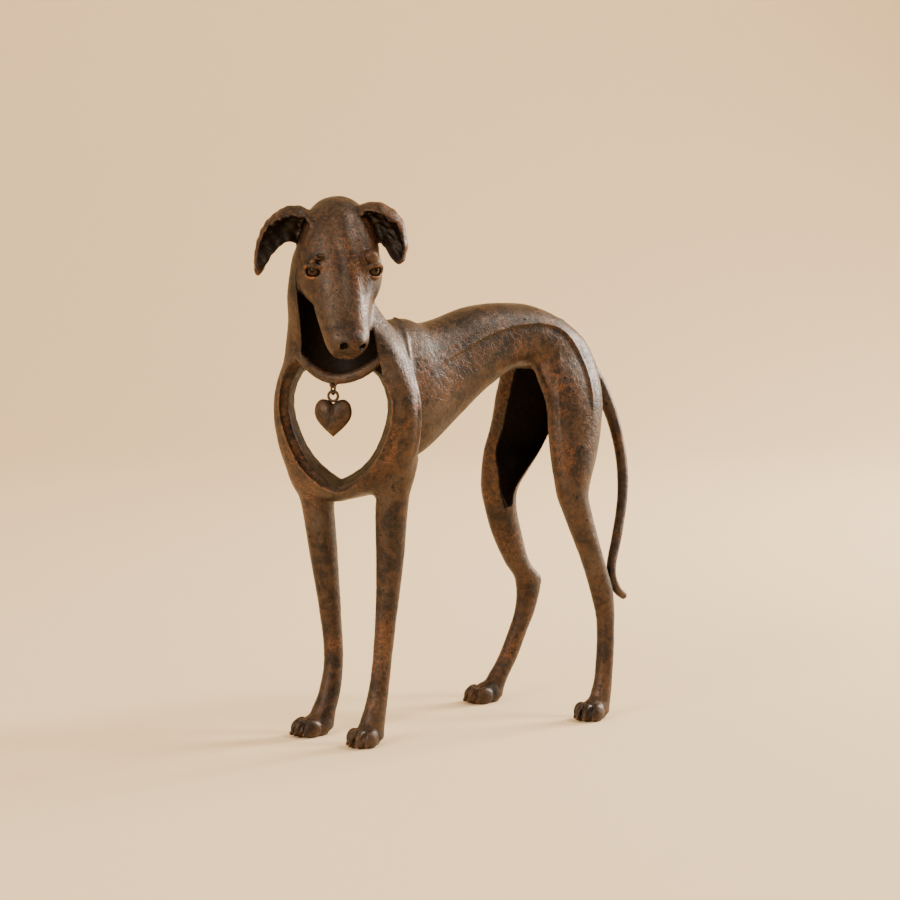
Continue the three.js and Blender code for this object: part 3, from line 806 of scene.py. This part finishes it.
def edge_faces(inside, number, axis):
    first, second = [(1, 2), (2, 0), (0, 1)][axis]
    here, ahead = [slice(1, -1)] * 3, [slice(1, -1)] * 3
    here[axis], ahead[axis] = slice(0, -1), slice(1, None)
    starts = inside[tuple(here)]
    edges = np.argwhere(starts != inside[tuple(ahead)])
    unit = np.eye(3, dtype=int)
    base = edges + 1 - unit[axis]
    ring = [unit[first] + unit[second], unit[second], 0 * unit[first], unit[first]]
    faces = np.stack([number[tuple((base - offset).T)] for offset in ring], 1)
    outward = starts[tuple(edges.T)]
    faces[~outward] = faces[~outward][:, ::-1]
    return faces


# %% Meshing the casting
STEP = 0.62
CLAY_LOW = np.array([-48.0, -42.0, -2.2])
CLAY_HIGH = np.array([50.0, 172.0, 262.0])
clay_field = sample_field(greyhound_clay, CLAY_LOW, CLAY_HIGH, STEP)
clay_points, clay_faces = net_surface(clay_field, CLAY_LOW, STEP)
clay_points[:, 2] = np.maximum(clay_points[:, 2], 0)
print("casting:", len(clay_points), "points,", len(clay_faces), "faces")


# %% Helpers that turn arrays into objects and back
def make_mesh(name, points, faces):
    mesh = bpy.data.meshes.new(name)
    mesh.from_pydata(((points + SHIFT) * MM).tolist(), [], faces.tolist())
    mesh.update()
    mesh.shade_smooth()
    return add_object(name, mesh)


def with_modifiers_applied(piece):
    bpy.context.view_layer.update()
    mesh = bpy.data.meshes.new_from_object(piece.evaluated_get(bpy.context.evaluated_depsgraph_get()))
    piece.modifiers.clear()
    return mesh


def read_vectors(items, name):
    flat = np.empty(3 * len(items), np.float32)
    items.foreach_get(name, flat)
    return flat.reshape(-1, 3).astype(float)


def keep_attribute(piece, name, values):
    attribute = piece.data.attributes.new(name, "FLOAT", "POINT")
    attribute.data.foreach_set("value", np.asarray(values, np.float32))


casting = make_mesh("casting", clay_points, clay_faces)
clay_normals = read_vectors(casting.data.vertex_normals, "vector")

# %% [markdown]
# ## Rubbed edges
# Hands rub the paint off whatever sticks out. Where the surface bends outwards within a short step, the
# normals of neighbouring points spread apart, so their spread tells how sharp each place is. The same value
# lays painted shade where the surface bends inwards, in the creases.

# %% How sharply the surface bends at each point
def neighbour_mean(values, first, second, count):
    total = np.bincount(first, values[second], len(values))
    total = total + np.bincount(second, values[first], len(values))
    return (total / count + values) / 2


def sharpness(points, normals, faces):
    first, second = faces.ravel(), np.roll(faces, -1, 1).ravel()
    step = points[second] - points[first]
    length = np.maximum((step ** 2).sum(1), (0.4 * STEP) ** 2)
    bend = ((normals[second] - normals[first]) * step).sum(1) / length
    count = np.bincount(first, minlength=len(points)) + np.bincount(second, minlength=len(points))
    total = np.bincount(first, bend, len(points)) + np.bincount(second, bend, len(points))
    bends = total / count
    for _ in range(2):
        bends = neighbour_mean(bends, first, second, count)
    return bends


clay_bend = sharpness(clay_points, clay_normals, clay_faces)
print("bends, 1/mm:", np.percentile(clay_bend, [5, 50, 95, 99]).round(3))

# %% [markdown]
# ## Tool marks
# The whole skin was tooled while soft, with short curly strokes. They are the borders between the cells of
# a random pattern, bent by a second one, and they are cut a tenth of a millimetre or two into the
# surface. The eyes, the nose and the toes stay smooth.

# %% Curly strokes
STROKE_SIZE = 3.6
STROKE_BEND = 0.9
STROKE_WIDTH = 0.17
STROKE_DEPTH = 0.16
DENT_SIZE = 9.0
DENT_DEPTH = 0.15
NOSE_TIP = [-1, 53, -3]
TOES_TOP = 9
SOLE_HEIGHT = 0.3
noise.seed_set(7)


def tool_marks(points):
    """Two values for each point: 1 on a stroke and 0 off it, and a slow unevenness from -1 to 1."""
    strokes, dents = np.zeros(len(points)), np.zeros(len(points))
    for n, point in enumerate((points / STROKE_SIZE).tolist()):
        place = Vector(point)
        bent = place + STROKE_BEND * noise.noise_vector(place * 0.8)
        nearest = noise.voronoi(bent)[0]
        strokes[n] = nearest[1] - nearest[0]
        dents[n] = noise.noise(place * (STROKE_SIZE / DENT_SIZE))
    return np.clip(1 - strokes / STROKE_WIDTH, 0, 1), dents


def smooth_places(points):
    """1 where tools were used, 0 on the nose, the eyes and the toes."""
    nose_away = np.linalg.norm(head_frame.local(points) - NOSE_TIP, axis=1)
    eye_away = np.min([np.linalg.norm(points - place.middle, axis=1) for place in eye_frames], 0)
    face = np.clip((nose_away - 6) / 4, 0, 1) * np.clip((eye_away - 5.5) / 2, 0, 1)
    return face * np.clip((points[:, 2] - TOES_TOP) / 6, 0, 1)


clay_strokes, clay_dents = tool_marks(clay_points)
tooled = smooth_places(clay_points)
press = STROKE_DEPTH * clay_strokes * tooled * (0.6 + 0.4 * clay_dents) - DENT_DEPTH * clay_dents * tooled
tooled_points = clay_points - press[:, None] * clay_normals
on_floor = clay_points[:, 2] < SOLE_HEIGHT
tooled_points[on_floor] = clay_points[on_floor]
casting.data.vertices.foreach_set("co", ((tooled_points + SHIFT) * MM).astype(np.float32).ravel())
casting.data.update()
print("strokes on", round(float((clay_strokes > 0.3).mean()) * 100), "% of the points")

# %% Thinning the mesh where it is plain
TRIANGLES = 190000
HEAD_HEIGHT = 214
PAW_HEIGHT = 12
if len(clay_faces) * 2 > TRIANGLES:
    plain = casting.vertex_groups.new(name="plain")
    detail = (clay_points[:, 2] > HEAD_HEIGHT) | (clay_points[:, 2] < PAW_HEIGHT)
    plain.add(np.flatnonzero(~detail).tolist(), 1.0, "REPLACE")
    thinning = casting.modifiers.new("thinning", "DECIMATE")
    thinning.ratio = TRIANGLES / (2 * len(clay_faces))
    thinning.vertex_group = "plain"
    thinning.vertex_group_factor = 1.0
    thinned = with_modifiers_applied(casting)
    casting.vertex_groups.clear()
    casting.data = thinned
    casting.data.name = "casting"
    casting.data.shade_smooth()
points = read_vectors(casting.data.vertices, "co") / MM - SHIFT
normals = read_vectors(casting.data.vertex_normals, "vector")
in_head = int((points[:, 2] > HEAD_HEIGHT).sum())
print("kept:", len(casting.data.polygons), "faces,", in_head, "points in the head")

# %% [markdown]
# ## Shade
# Shade is painted into the colour where little light gets in. From each point a fan of rays goes out; the
# share that meets the casting within a few centimetres is its shade. The listed walls of the hollows get
# more painted shade on top of that, and the walls of the window are kept apart, so that their sheen can be
# turned down.

# %% Edges, strokes and shade kept on the mesh
SHADE_RAYS = 14
SHADE_REACH = 45.0
RAY_START = 0.4
fan = np.random.default_rng(5).normal(size=(SHADE_RAYS, 3))
fan /= np.linalg.norm(fan, axis=1, keepdims=True)


def shade_of(points, normals, tree):
    blocked = np.zeros(len(points))
    for ray in fan:
        ways = ray + 1.05 * normals
        ways /= np.linalg.norm(ways, axis=1, keepdims=True)
        starts = points + RAY_START * normals
        for n, (start, way) in enumerate(zip(starts.tolist(), ways.tolist())):
            distance = tree.ray_cast(start, way, SHADE_REACH)[3]
            if distance is not None:
                blocked[n] += 1
    return blocked / SHADE_RAYS


# How dark the painted shade is on the walls of the neck, the ears and the window, and how dark the nose's
# own colour is; HOLLOW_SHADE scales them all.
NECK_DARK = 0.85
EAR_DARK = 0.8
NOSE_DARK = 0.6
WINDOW_DARK = 0.72
HOLLOW_SHADE = 0.85


def near_wall(lump, points, room):
    """1 on the lump's own surface, fading to 0 at the given distance from it."""
    return np.clip(2 * (1 - np.abs(lump.distance(points)) / room), 0, 1)


def inside_hollows(points):
    """Painted shade: 1 on the walls of the thighs and the nostrils, and less in the neck, the ears and the
    window. The nose's own darker colour is added too.
    """
    inside = np.zeros(len(points))
    # Painted shade on the walls of the neck hollow, the thigh hollows and the insides of the ears.
    walls = [(neck_hollow, 0.8, NECK_DARK)]
    walls += [(hollow, 1.2, 1) for hollow in leg_hollows]
    walls += [(ear.inside, 1.3, EAR_DARK) for ear in ears]
    for lump, room, darkness in walls:
        here = close_to(points, lump, 2)
        inside[here] = np.maximum(inside[here], darkness * near_wall(lump, points[here], room))
    inside *= np.clip(collar.distance(points) / 1.5, 0, 1) * np.clip(skull.distance(points) - 1, 0, 1)
    # The nose keeps its own darker colour in the same values; that part is not shade.
    inside = np.maximum(inside, NOSE_DARK * (nose.distance(points) < 0.8))
    # Painted shade on the walls of the nostrils.
    for nostril in nostrils:
        inside = np.maximum(inside, near_wall(nostril, points, 0.5))
    # Painted shade on the walls of the way through the chest.
    return np.maximum(inside, WINDOW_DARK * window_walls(points))


def window_walls(points):
    """1 on the walls of the way through the chest, behind the bevel."""
    side, behind = chest_frame.local(points)[:, :2].T
    past_bevel = np.clip((behind - WALL_FRONT + 0.8) / 1.6, 0, 1)
    return near_wall(window, points, 1.0) * past_bevel * (np.abs(side) < 60)


def nearest_of(points, sources):
    tree = KDTree(len(sources))
    for n, source in enumerate(sources.tolist()):
        tree.insert(source, n)
    tree.balance()
    return np.array([tree.find(point)[1] for point in points.tolist()])


casting_faces = [tuple(polygon.vertices) for polygon in casting.data.polygons]
shade = shade_of(points, normals, BVHTree.FromPolygons(points.tolist(), casting_faces))
source = nearest_of(points, tooled_points)
# Outward bends get rubbed copper, inward bends painted shade in the creases; both are weaker on the paws.
paws_less_worn_and_shaded = np.interp(points[:, 2], [TOES_TOP, 16], [0.62, 1])
keep_attribute(casting, "wear_and_crease_shade", clay_bend[source] * paws_less_worn_and_shaded)
keep_attribute(casting, "strokes", (clay_strokes * tooled)[source])
# The shade attribute is painted shade from the rays and on the hollow walls, with the nose's own darker
# colour in it.
keep_attribute(casting, "shade", np.maximum(shade, HOLLOW_SHADE * inside_hollows(points)))
keep_attribute(casting, "dull", window_walls(points))
print("shade, middle and most:", np.percentile(shade, [50, 95]).round(2))

# %% [markdown]
# ## Eyes
# The eyes are part of the casting, but they are painted and glossed, so they are separate balls here.

# %% Eyeballs
def wrap_faces(rings, count, way):
    """Faces round a stack of rings and out to a point at each end. The ends are the last two points."""
    faces, end = [], rings * count
    for k in range(count):
        ahead = (k + 1) % count
        for start in range(0, end - count, count):
            a, b = start + k, start + ahead
            faces.append([a, *[b, b + count, a + count][::way]])
        faces.append([end, ahead, k][::way])
        faces.append([end + 1, end - count + k, end - count + ahead][::way])
    return np.array(faces, dtype=object)


def eyeball(name, place):
    rings, around = 24, 32
    down = np.pi * (np.arange(1, rings) / rings)
    turn = 2 * np.pi * np.arange(around) / around
    sides = [np.outer(np.sin(down), np.cos(turn)), np.outer(np.sin(down), np.sin(turn))]
    ball = np.stack([sides[0], np.outer(np.cos(down), np.ones(around)), sides[1]], -1).reshape(-1, 3)
    ball = np.concatenate([ball, [[0, 1, 0], [0, -1, 0]]]) * EYE_RADIUS
    piece = make_mesh(name, place.world(ball), wrap_faces(rings - 1, around, 1))
    keep_attribute(piece, "gaze", ball[:, 1] / EYE_RADIUS)
    return piece


eyes = [eyeball(name, place) for name, place in zip(("eye_right", "eye_left"), eye_frames)]
print("eyes:", [eye.name for eye in eyes])

# %% [markdown]
# ## Link and ring
# Both are wire bent round an oval, so one Geometry Nodes tree makes them: a circle is stretched to an oval
# and a small round section follows it.

# %% The wire loop tree
def fill(tree, node, inputs):
    """Gives each input a plain value, or a link from the output that is given for it."""
    for key, value in inputs.items():
        if isinstance(value, bpy.types.NodeSocket):
            tree.links.new(value, node.inputs[key])
        else:
            node.inputs[key].default_value = value


def add_node(tree, kind, inputs=None, **settings):
    """Adds one node and gives back its outputs."""
    node = tree.nodes.new(kind)
    for name, value in settings.items():
        setattr(node, name, value)
    fill(tree, node, inputs or {})
    return node.outputs


def wire_loop_tree(paint):
    tree = bpy.data.node_groups.new("wire loop", "GeometryNodeTree")
    add_socket = tree.interface.new_socket
    add_socket("Geometry", in_out="INPUT", socket_type="NodeSocketGeometry")
    names = {}
    for name in ("Half width", "Half height", "Wire radius"):
        names[name] = add_socket(name, in_out="INPUT", socket_type="NodeSocketFloat").identifier
    add_socket("Geometry", in_out="OUTPUT", socket_type="NodeSocketGeometry")
    given = add_node(tree, "NodeGroupInput")
    scale = add_node(tree, "ShaderNodeCombineXYZ", {"X": given["Half width"], "Y": given["Half height"]})
    wire = {"Resolution": 16, "Radius": given["Wire radius"]}
    section = add_node(tree, "GeometryNodeCurvePrimitiveCircle", wire)["Curve"]
    loop = add_node(tree, "GeometryNodeCurvePrimitiveCircle", {"Resolution": 64, "Radius": 1.0})["Curve"]
    for kind, inputs, made in [
        ("GeometryNodeTransform", {"Scale": scale["Vector"]}, "Geometry"),
        ("GeometryNodeCurveToMesh", {"Profile Curve": section}, "Mesh"),
        ("GeometryNodeRealizeInstances", {}, "Geometry"),
        ("GeometryNodeSetMaterial", {"Material": paint}, "Geometry"),
    ]:
        loop = add_node(tree, kind, {0: loop, **inputs})[made]
    add_node(tree, "NodeGroupOutput", {"Geometry": loop})
    return tree, names


# %% [markdown]
# ## Old bronze paint
# The ground is a dark warm brown with cooler clouds. Copper shows in patches, along the tool marks and on
# every rubbed edge. Hollows and creases get painted shade in the dark colour of wax. Real painters of resin
# do it
# in this order too: dark coat, copper dabbed over it, wax wiped back off the high places.

# %% Node helpers
def new_material(name):
    material = bpy.data.materials.new(name)
    material.use_nodes = True
    return material, material.node_tree, material.node_tree.nodes["Principled BSDF"]


def noise_value(tree, where, scale, detail, distortion=0.0):
    inputs = {"Vector": where, "Scale": scale, "Detail": detail, "Distortion": distortion, "Roughness": 0.55}
    return add_node(tree, "ShaderNodeTexNoise", inputs)["Fac"]


def ramp(tree, value, stops):
    inputs = {"Value": value, **dict(zip(("From Min", "From Max", "To Min", "To Max"), stops))}
    return add_node(tree, "ShaderNodeMapRange", inputs, interpolation_type="SMOOTHSTEP")["Result"]


def blend(tree, share, first, second):
    first, second = ((*colour, 1) if isinstance(colour, tuple) else colour for colour in (first, second))
    return add_node(tree, "ShaderNodeMix", {"Factor": share, 6: first, 7: second}, data_type="RGBA")[2]


def attribute(tree, name):
    return add_node(tree, "ShaderNodeAttribute", attribute_name=name)["Fac"]


def cell_lines(tree, where, scale, bend, width):
    """Thin lines between the cells of a random pattern whose space is bent by noise."""
    inputs = {"Vector": where, "Scale": scale * 0.8, "Detail": 2.0}
    bends = add_node(tree, "ShaderNodeTexNoise", inputs)["Color"]
    inputs = {0: bends, 1: (bend / scale,) * 3, 2: where}
    place = add_node(tree, "ShaderNodeVectorMath", inputs, operation="MULTIPLY_ADD")["Vector"]
    inputs = {"Vector": place, "Scale": scale}
    cells = add_node(tree, "ShaderNodeTexVoronoi", inputs, feature="DISTANCE_TO_EDGE")
    return ramp(tree, cells["Distance"], (0.0, width, 1, 0))


# %% Bronze paint
DARK_BROWN = (0.0125, 0.0078, 0.0050)
MID_BROWN = (0.056, 0.029, 0.0135)
COOL_BROWN = (0.060, 0.042, 0.029)
COPPER = (0.22, 0.076, 0.024)
# Dark wax, for the pits and the strokes, and the same colour for the painted shade in hollows and creases.
WAX_AND_SHADE = (0.0040, 0.0026, 0.0019)
# The strokes keep dark wax; the shade attribute and the inward bends lay painted shade.
WAX_AND_SHADE_STOPS = {"strokes": (0.2, 1, 0, 0.55), "shade": (0.30, 0.78, 0, 0.95), "wear_and_crease_shade": (-0.15, -0.6, 0, 0.85)}
METAL = 0.35
SHEEN = 0.4
BUMP = {"Strength": 0.35, "Distance": 0.00025}


def bronze_paint(name, with_wear_and_shade):
    material, tree, shader = new_material(name)
    where = add_node(tree, "ShaderNodeTexCoord")["Object"]

    def cloudy(*settings, between):
        return ramp(tree, noise_value(tree, where, *settings), between)

    def combine(kind, first, second):
        return add_node(tree, "ShaderNodeMath", {0: first, 1: second}, operation=kind)["Value"]

    ground = blend(tree, cloudy(120, 6, 0.8, between=(0.38, 0.62, 0, 1)), DARK_BROWN, MID_BROWN)
    ground = blend(tree, cloudy(36, 4, 0.5, between=(0.44, 0.68, 0, 0.7)), ground, COOL_BROWN)
    strokes = cell_lines(tree, where, 290, 1.5, 0.075)
    fine = cell_lines(tree, where, 640, 1.2, 0.08)
    patches = cloudy(32, 5, 0.9, between=(0.45, 0.66, 0, 1))
    speckle = cloudy(430, 5, 0.4, between=(0.46, 0.68, 0, 1))
    dabs = combine("MULTIPLY", combine("MULTIPLY", patches, speckle), 0.42)
    line_share = combine("MAXIMUM", strokes, combine("MULTIPLY", fine, 0.4))
    line_share = combine("MULTIPLY", line_share, ramp(tree, patches, (0, 1, 0.14, 0.62)))
    copper_share = combine("MAXIMUM", dabs, line_share)
    pits = cloudy(260, 2, 0.2, between=(0.67, 0.73, 0, 1))
    if with_wear_and_shade:
        edge = ramp(tree, attribute(tree, "wear_and_crease_shade"), (0.36, 0.72, 0, 0.9))
        edge = combine("MULTIPLY", edge, ramp(tree, speckle, (0, 1, 0.6, 1)))
        copper_share = combine("MAXIMUM", copper_share, edge)
    colour = blend(tree, copper_share, ground, COPPER)
    colour = blend(tree, pits, colour, WAX_AND_SHADE)
    if with_wear_and_shade:
        # Dark wax on the strokes, painted shade from the shade attribute and in the creases.
        for kept, stops in WAX_AND_SHADE_STOPS.items():
            colour = blend(tree, ramp(tree, attribute(tree, kept), stops), colour, WAX_AND_SHADE)
    roughness = cloudy(160, 4, 0.5, between=(0.3, 0.7, 0.38, 0.50))
    fill(tree, shader, {"Base Color": colour, "Roughness": roughness})
    fill(tree, shader, {"Metallic": METAL, "Specular IOR Level": SHEEN})
    if with_wear_and_shade:
        deep = ramp(tree, attribute(tree, "shade"), (0.55, 0.8, 0, 1))
        matt = combine("MAXIMUM", deep, attribute(tree, "dull"))
        metal, sheen = ramp(tree, matt, (0, 1, METAL, 0)), ramp(tree, matt, (0, 1, SHEEN, 0.02))
        fill(tree, shader, {"Metallic": metal, "Specular IOR Level": sheen})
    height = combine("ADD", combine("MULTIPLY", strokes, 0.8), pits)
    height = combine("ADD", height, combine("MULTIPLY", fine, 0.2))
    bump = add_node(tree, "ShaderNodeBump", {"Height": height, **BUMP}, invert=True)
    fill(tree, shader, {"Normal": bump["Normal"]})
    return material


casting_paint = bronze_paint("bronze paint", True)
charm_paint = bronze_paint("charm bronze", False)


# %% Eye gloss
def eye_gloss():
    material, tree, shader = new_material("eye gloss")
    fleck = noise_value(tree, add_node(tree, "ShaderNodeTexCoord")["Object"], 900, 3)
    gaze = attribute(tree, "gaze")
    colour = blend(tree, fleck, (0.014, 0.006, 0.003), (0.060, 0.024, 0.009))
    colour = blend(tree, ramp(tree, gaze, (0.955, 0.975, 0, 1)), colour, (0.001, 0.001, 0.001))
    colour = blend(tree, ramp(tree, gaze, (0.86, 0.80, 0, 1)), colour, (0.010, 0.006, 0.004))
    fill(tree, shader, {"Base Color": colour, "Roughness": 0.08, "Specular IOR Level": 0.14})
    return material


eye_paint = eye_gloss()
casting.data.materials.append(casting_paint)
for eye in eyes:
    eye.data.materials.append(eye_paint)

# %% Bending the link and the ring
LINK = {"Half width": 1.6 * MM, "Half height": 2.25 * MM, "Wire radius": 0.5 * MM}
RING = {"Half width": 2.3 * MM, "Half height": 2.3 * MM, "Wire radius": 0.65 * MM}
LINK_TURN = CHARM_TURN + math.radians(75)
RING_DROP = 3.1 * MM
loop_tree, loop_inputs = wire_loop_tree(charm_paint)


def wire_loop(name, middle, turn, sizes):
    piece = add_object(name, bpy.data.meshes.new(name))
    modifier = piece.modifiers.new("wire loop", "NODES")
    modifier.node_group = loop_tree
    for title, identifier in loop_inputs.items():
        modifier[identifier] = sizes[title]
    mesh = with_modifiers_applied(piece)
    piece.data = mesh
    across, up = Vector((math.cos(turn), math.sin(turn), 0)), Vector((0, 0, 1))
    for vertex in mesh.vertices:
        x, y, z = vertex.co
        vertex.co = Vector(middle) + across * x + up * y + across.cross(up) * z
    mesh.shade_smooth()
    return piece


link_piece = wire_loop("link", (link_low + link_high) / 2, LINK_TURN, LINK)
ring_height = (link_low[2] + link_high[2]) / 2 - RING_DROP
ring_middle = np.array([*((link_low + link_high) / 2)[:2], ring_height])
ring_piece = wire_loop("charm_ring", ring_middle, CHARM_TURN, RING)
print("link and ring faces:", len(link_piece.data.polygons), len(ring_piece.data.polygons))

# %% [markdown]
# ## The heart charm
# A puffy heart with a soft crease down its front. Its outline is scaled inwards in rings while the
# thickness grows like a quarter circle, and the crease is pressed in afterwards.

# %% Heart
HEART_WIDTH, HEART_HEIGHT, HEART_THICKNESS = 17.8, 17.4, 8.0
HEART_HALF = [
    [0, -1], [0.27, -0.885], [0.52, -0.77], [0.8, -0.61], [0.96, -0.46], [1, -0.31], [0.9, -0.12],
    [0.66, -0.01], [0.38, -0.01], [0.14, -0.06], [0, -0.13],
]
HEART_TOP = -1.5
HEART_MIDDLE = 0.45
PUFF_SHAPE = 2.4
CREASE_DEPTH = 1.1
CREASE_WIDTH = 0.12
CREASE_END = 0.75
right_half = smooth_rows(HEART_HALF, 5)
outline = np.concatenate([right_half, right_half[-2:0:-1] * [-1, 1]])


def heart_layer(share, side):
    """One ring of points: share 1 is the edge, 0 the middle; side is +1 in front and -1 behind."""
    flat = np.stack([outline[:, 0] * share, -HEART_MIDDLE + (outline[:, 1] + HEART_MIDDLE) * share], 1)
    puff = (1 - share ** PUFF_SHAPE) ** 0.5
    crease = CREASE_DEPTH * np.exp(-(flat[:, 0] / CREASE_WIDTH) ** 2)
    crease = crease * np.clip((flat[:, 1] + CREASE_END) / 0.5, 0, 1)
    depth = side * (HEART_THICKNESS / 2 * puff - crease * puff)
    return np.stack([flat[:, 0] * HEART_WIDTH / 2, -depth, HEART_TOP + flat[:, 1] * HEART_HEIGHT], 1)


def heart_mesh():
    shares = np.sin(np.linspace(0, np.pi / 2, 14))[1:]
    layers = [heart_layer(s, 1) for s in shares] + [heart_layer(s, -1) for s in shares[-2::-1]]
    points = np.concatenate([*layers, heart_layer(1e-6, 1)[:1], heart_layer(1e-6, -1)[:1]])
    place = Frame(ring_middle / MM - SHIFT, across_charm, through_charm, upward)
    return make_mesh("heart", place.world(points), wrap_faces(len(layers), len(outline), -1))


heart = heart_mesh()
heart.data.materials.append(charm_paint)
print("heart faces:", len(heart.data.polygons))

# %% [markdown]
# ## Pieces and solids
# Every piece rides on the one body, and replaces the solid that it stands for.

# %% Riding and replacing
for piece, slot in [(casting, "bronze_resin"), (link_piece, "charm_bronze"), (ring_piece, "charm_bronze"),
                    (heart, "charm_bronze"), *[(eye, "bronze_resin") for eye in eyes]]:
    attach(piece, "root")
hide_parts("greyhound")
for eye in eyes:
    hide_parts("greyhound")
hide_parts("charm_link")
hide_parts("heart_charm")
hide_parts("heart_charm")

# %% [markdown]
# ## Floor and light
# A pale warm floor that rolls up into a plain backdrop, one big soft light low on the right, a small one
# above it for the crest of the head, a weaker one in front of the chest, and a warm even sky.

# %% Floor that rolls up behind
FLOOR_FRONT, FLOOR_BACK = -2.2, 1.2
ROLL_RADIUS = 0.8
WALL_TOP = 3.2
HALF_WIDTH = 3.0
PALE_SAND = (0.95, 0.74, 0.47, 1)


def backdrop():
    away = np.array([-math.sin(CAMERA_TURN), math.cos(CAMERA_TURN)])
    across = np.array([math.cos(CAMERA_TURN), math.sin(CAMERA_TURN)])
    profile = [(FLOOR_FRONT, 0.0), (FLOOR_BACK, 0.0)]
    for bend in np.linspace(0.1, math.pi / 2, 14):
        roll = ROLL_RADIUS * math.sin(bend), ROLL_RADIUS - ROLL_RADIUS * math.cos(bend)
        profile.append((FLOOR_BACK + roll[0], roll[1]))
    profile.append((FLOOR_BACK + ROLL_RADIUS, WALL_TOP))
    points, faces = [], []
    for distance, height in profile:
        for side in (-HALF_WIDTH, HALF_WIDTH):
            points.append([*(away * distance + across * side), height])
    for k in range(len(profile) - 1):
        faces.append([2 * k, 2 * k + 1, 2 * k + 3, 2 * k + 2])
    mesh = bpy.data.meshes.new("floor")
    mesh.from_pydata(points, [], faces)
    mesh.shade_smooth()
    material, tree, shader = new_material("pale floor")
    fill(tree, shader, {"Base Color": PALE_SAND, "Roughness": 0.8})
    mesh.materials.append(material)
    return add_object("floor", mesh)


floor = backdrop()


# %% Lights
LIT_PLACE = (0, 0, 0.14)


def soft_light(name, at, size, power, colour):
    data = bpy.data.lights.new(name, "AREA")
    data.shape = "DISK"
    data.size = size
    data.energy = power
    data.color = colour
    lamp = add_object(name, data)
    lamp.location = at
    lamp.rotation_euler = (Vector(LIT_PLACE) - Vector(at)).to_track_quat("-Z", "Y").to_euler()


soft_light("key", (0.1, 1.47, 0.62), 0.6, 44, (1.0, 0.91, 0.80))
soft_light("crest", (0.62, 0.86, 1.35), 0.3, 12, (1.0, 0.93, 0.84))
soft_light("fill", (0.42, -1.6, 0.9), 0.9, 22, (1.0, 0.88, 0.74))
world = bpy.data.worlds.new("sky")
bpy.context.scene.world = world
world.use_nodes = True
warm_light = {"Color": (1.0, 0.80, 0.56, 1), "Strength": 1.0}
fill(world.node_tree, world.node_tree.nodes["Background"], warm_light)
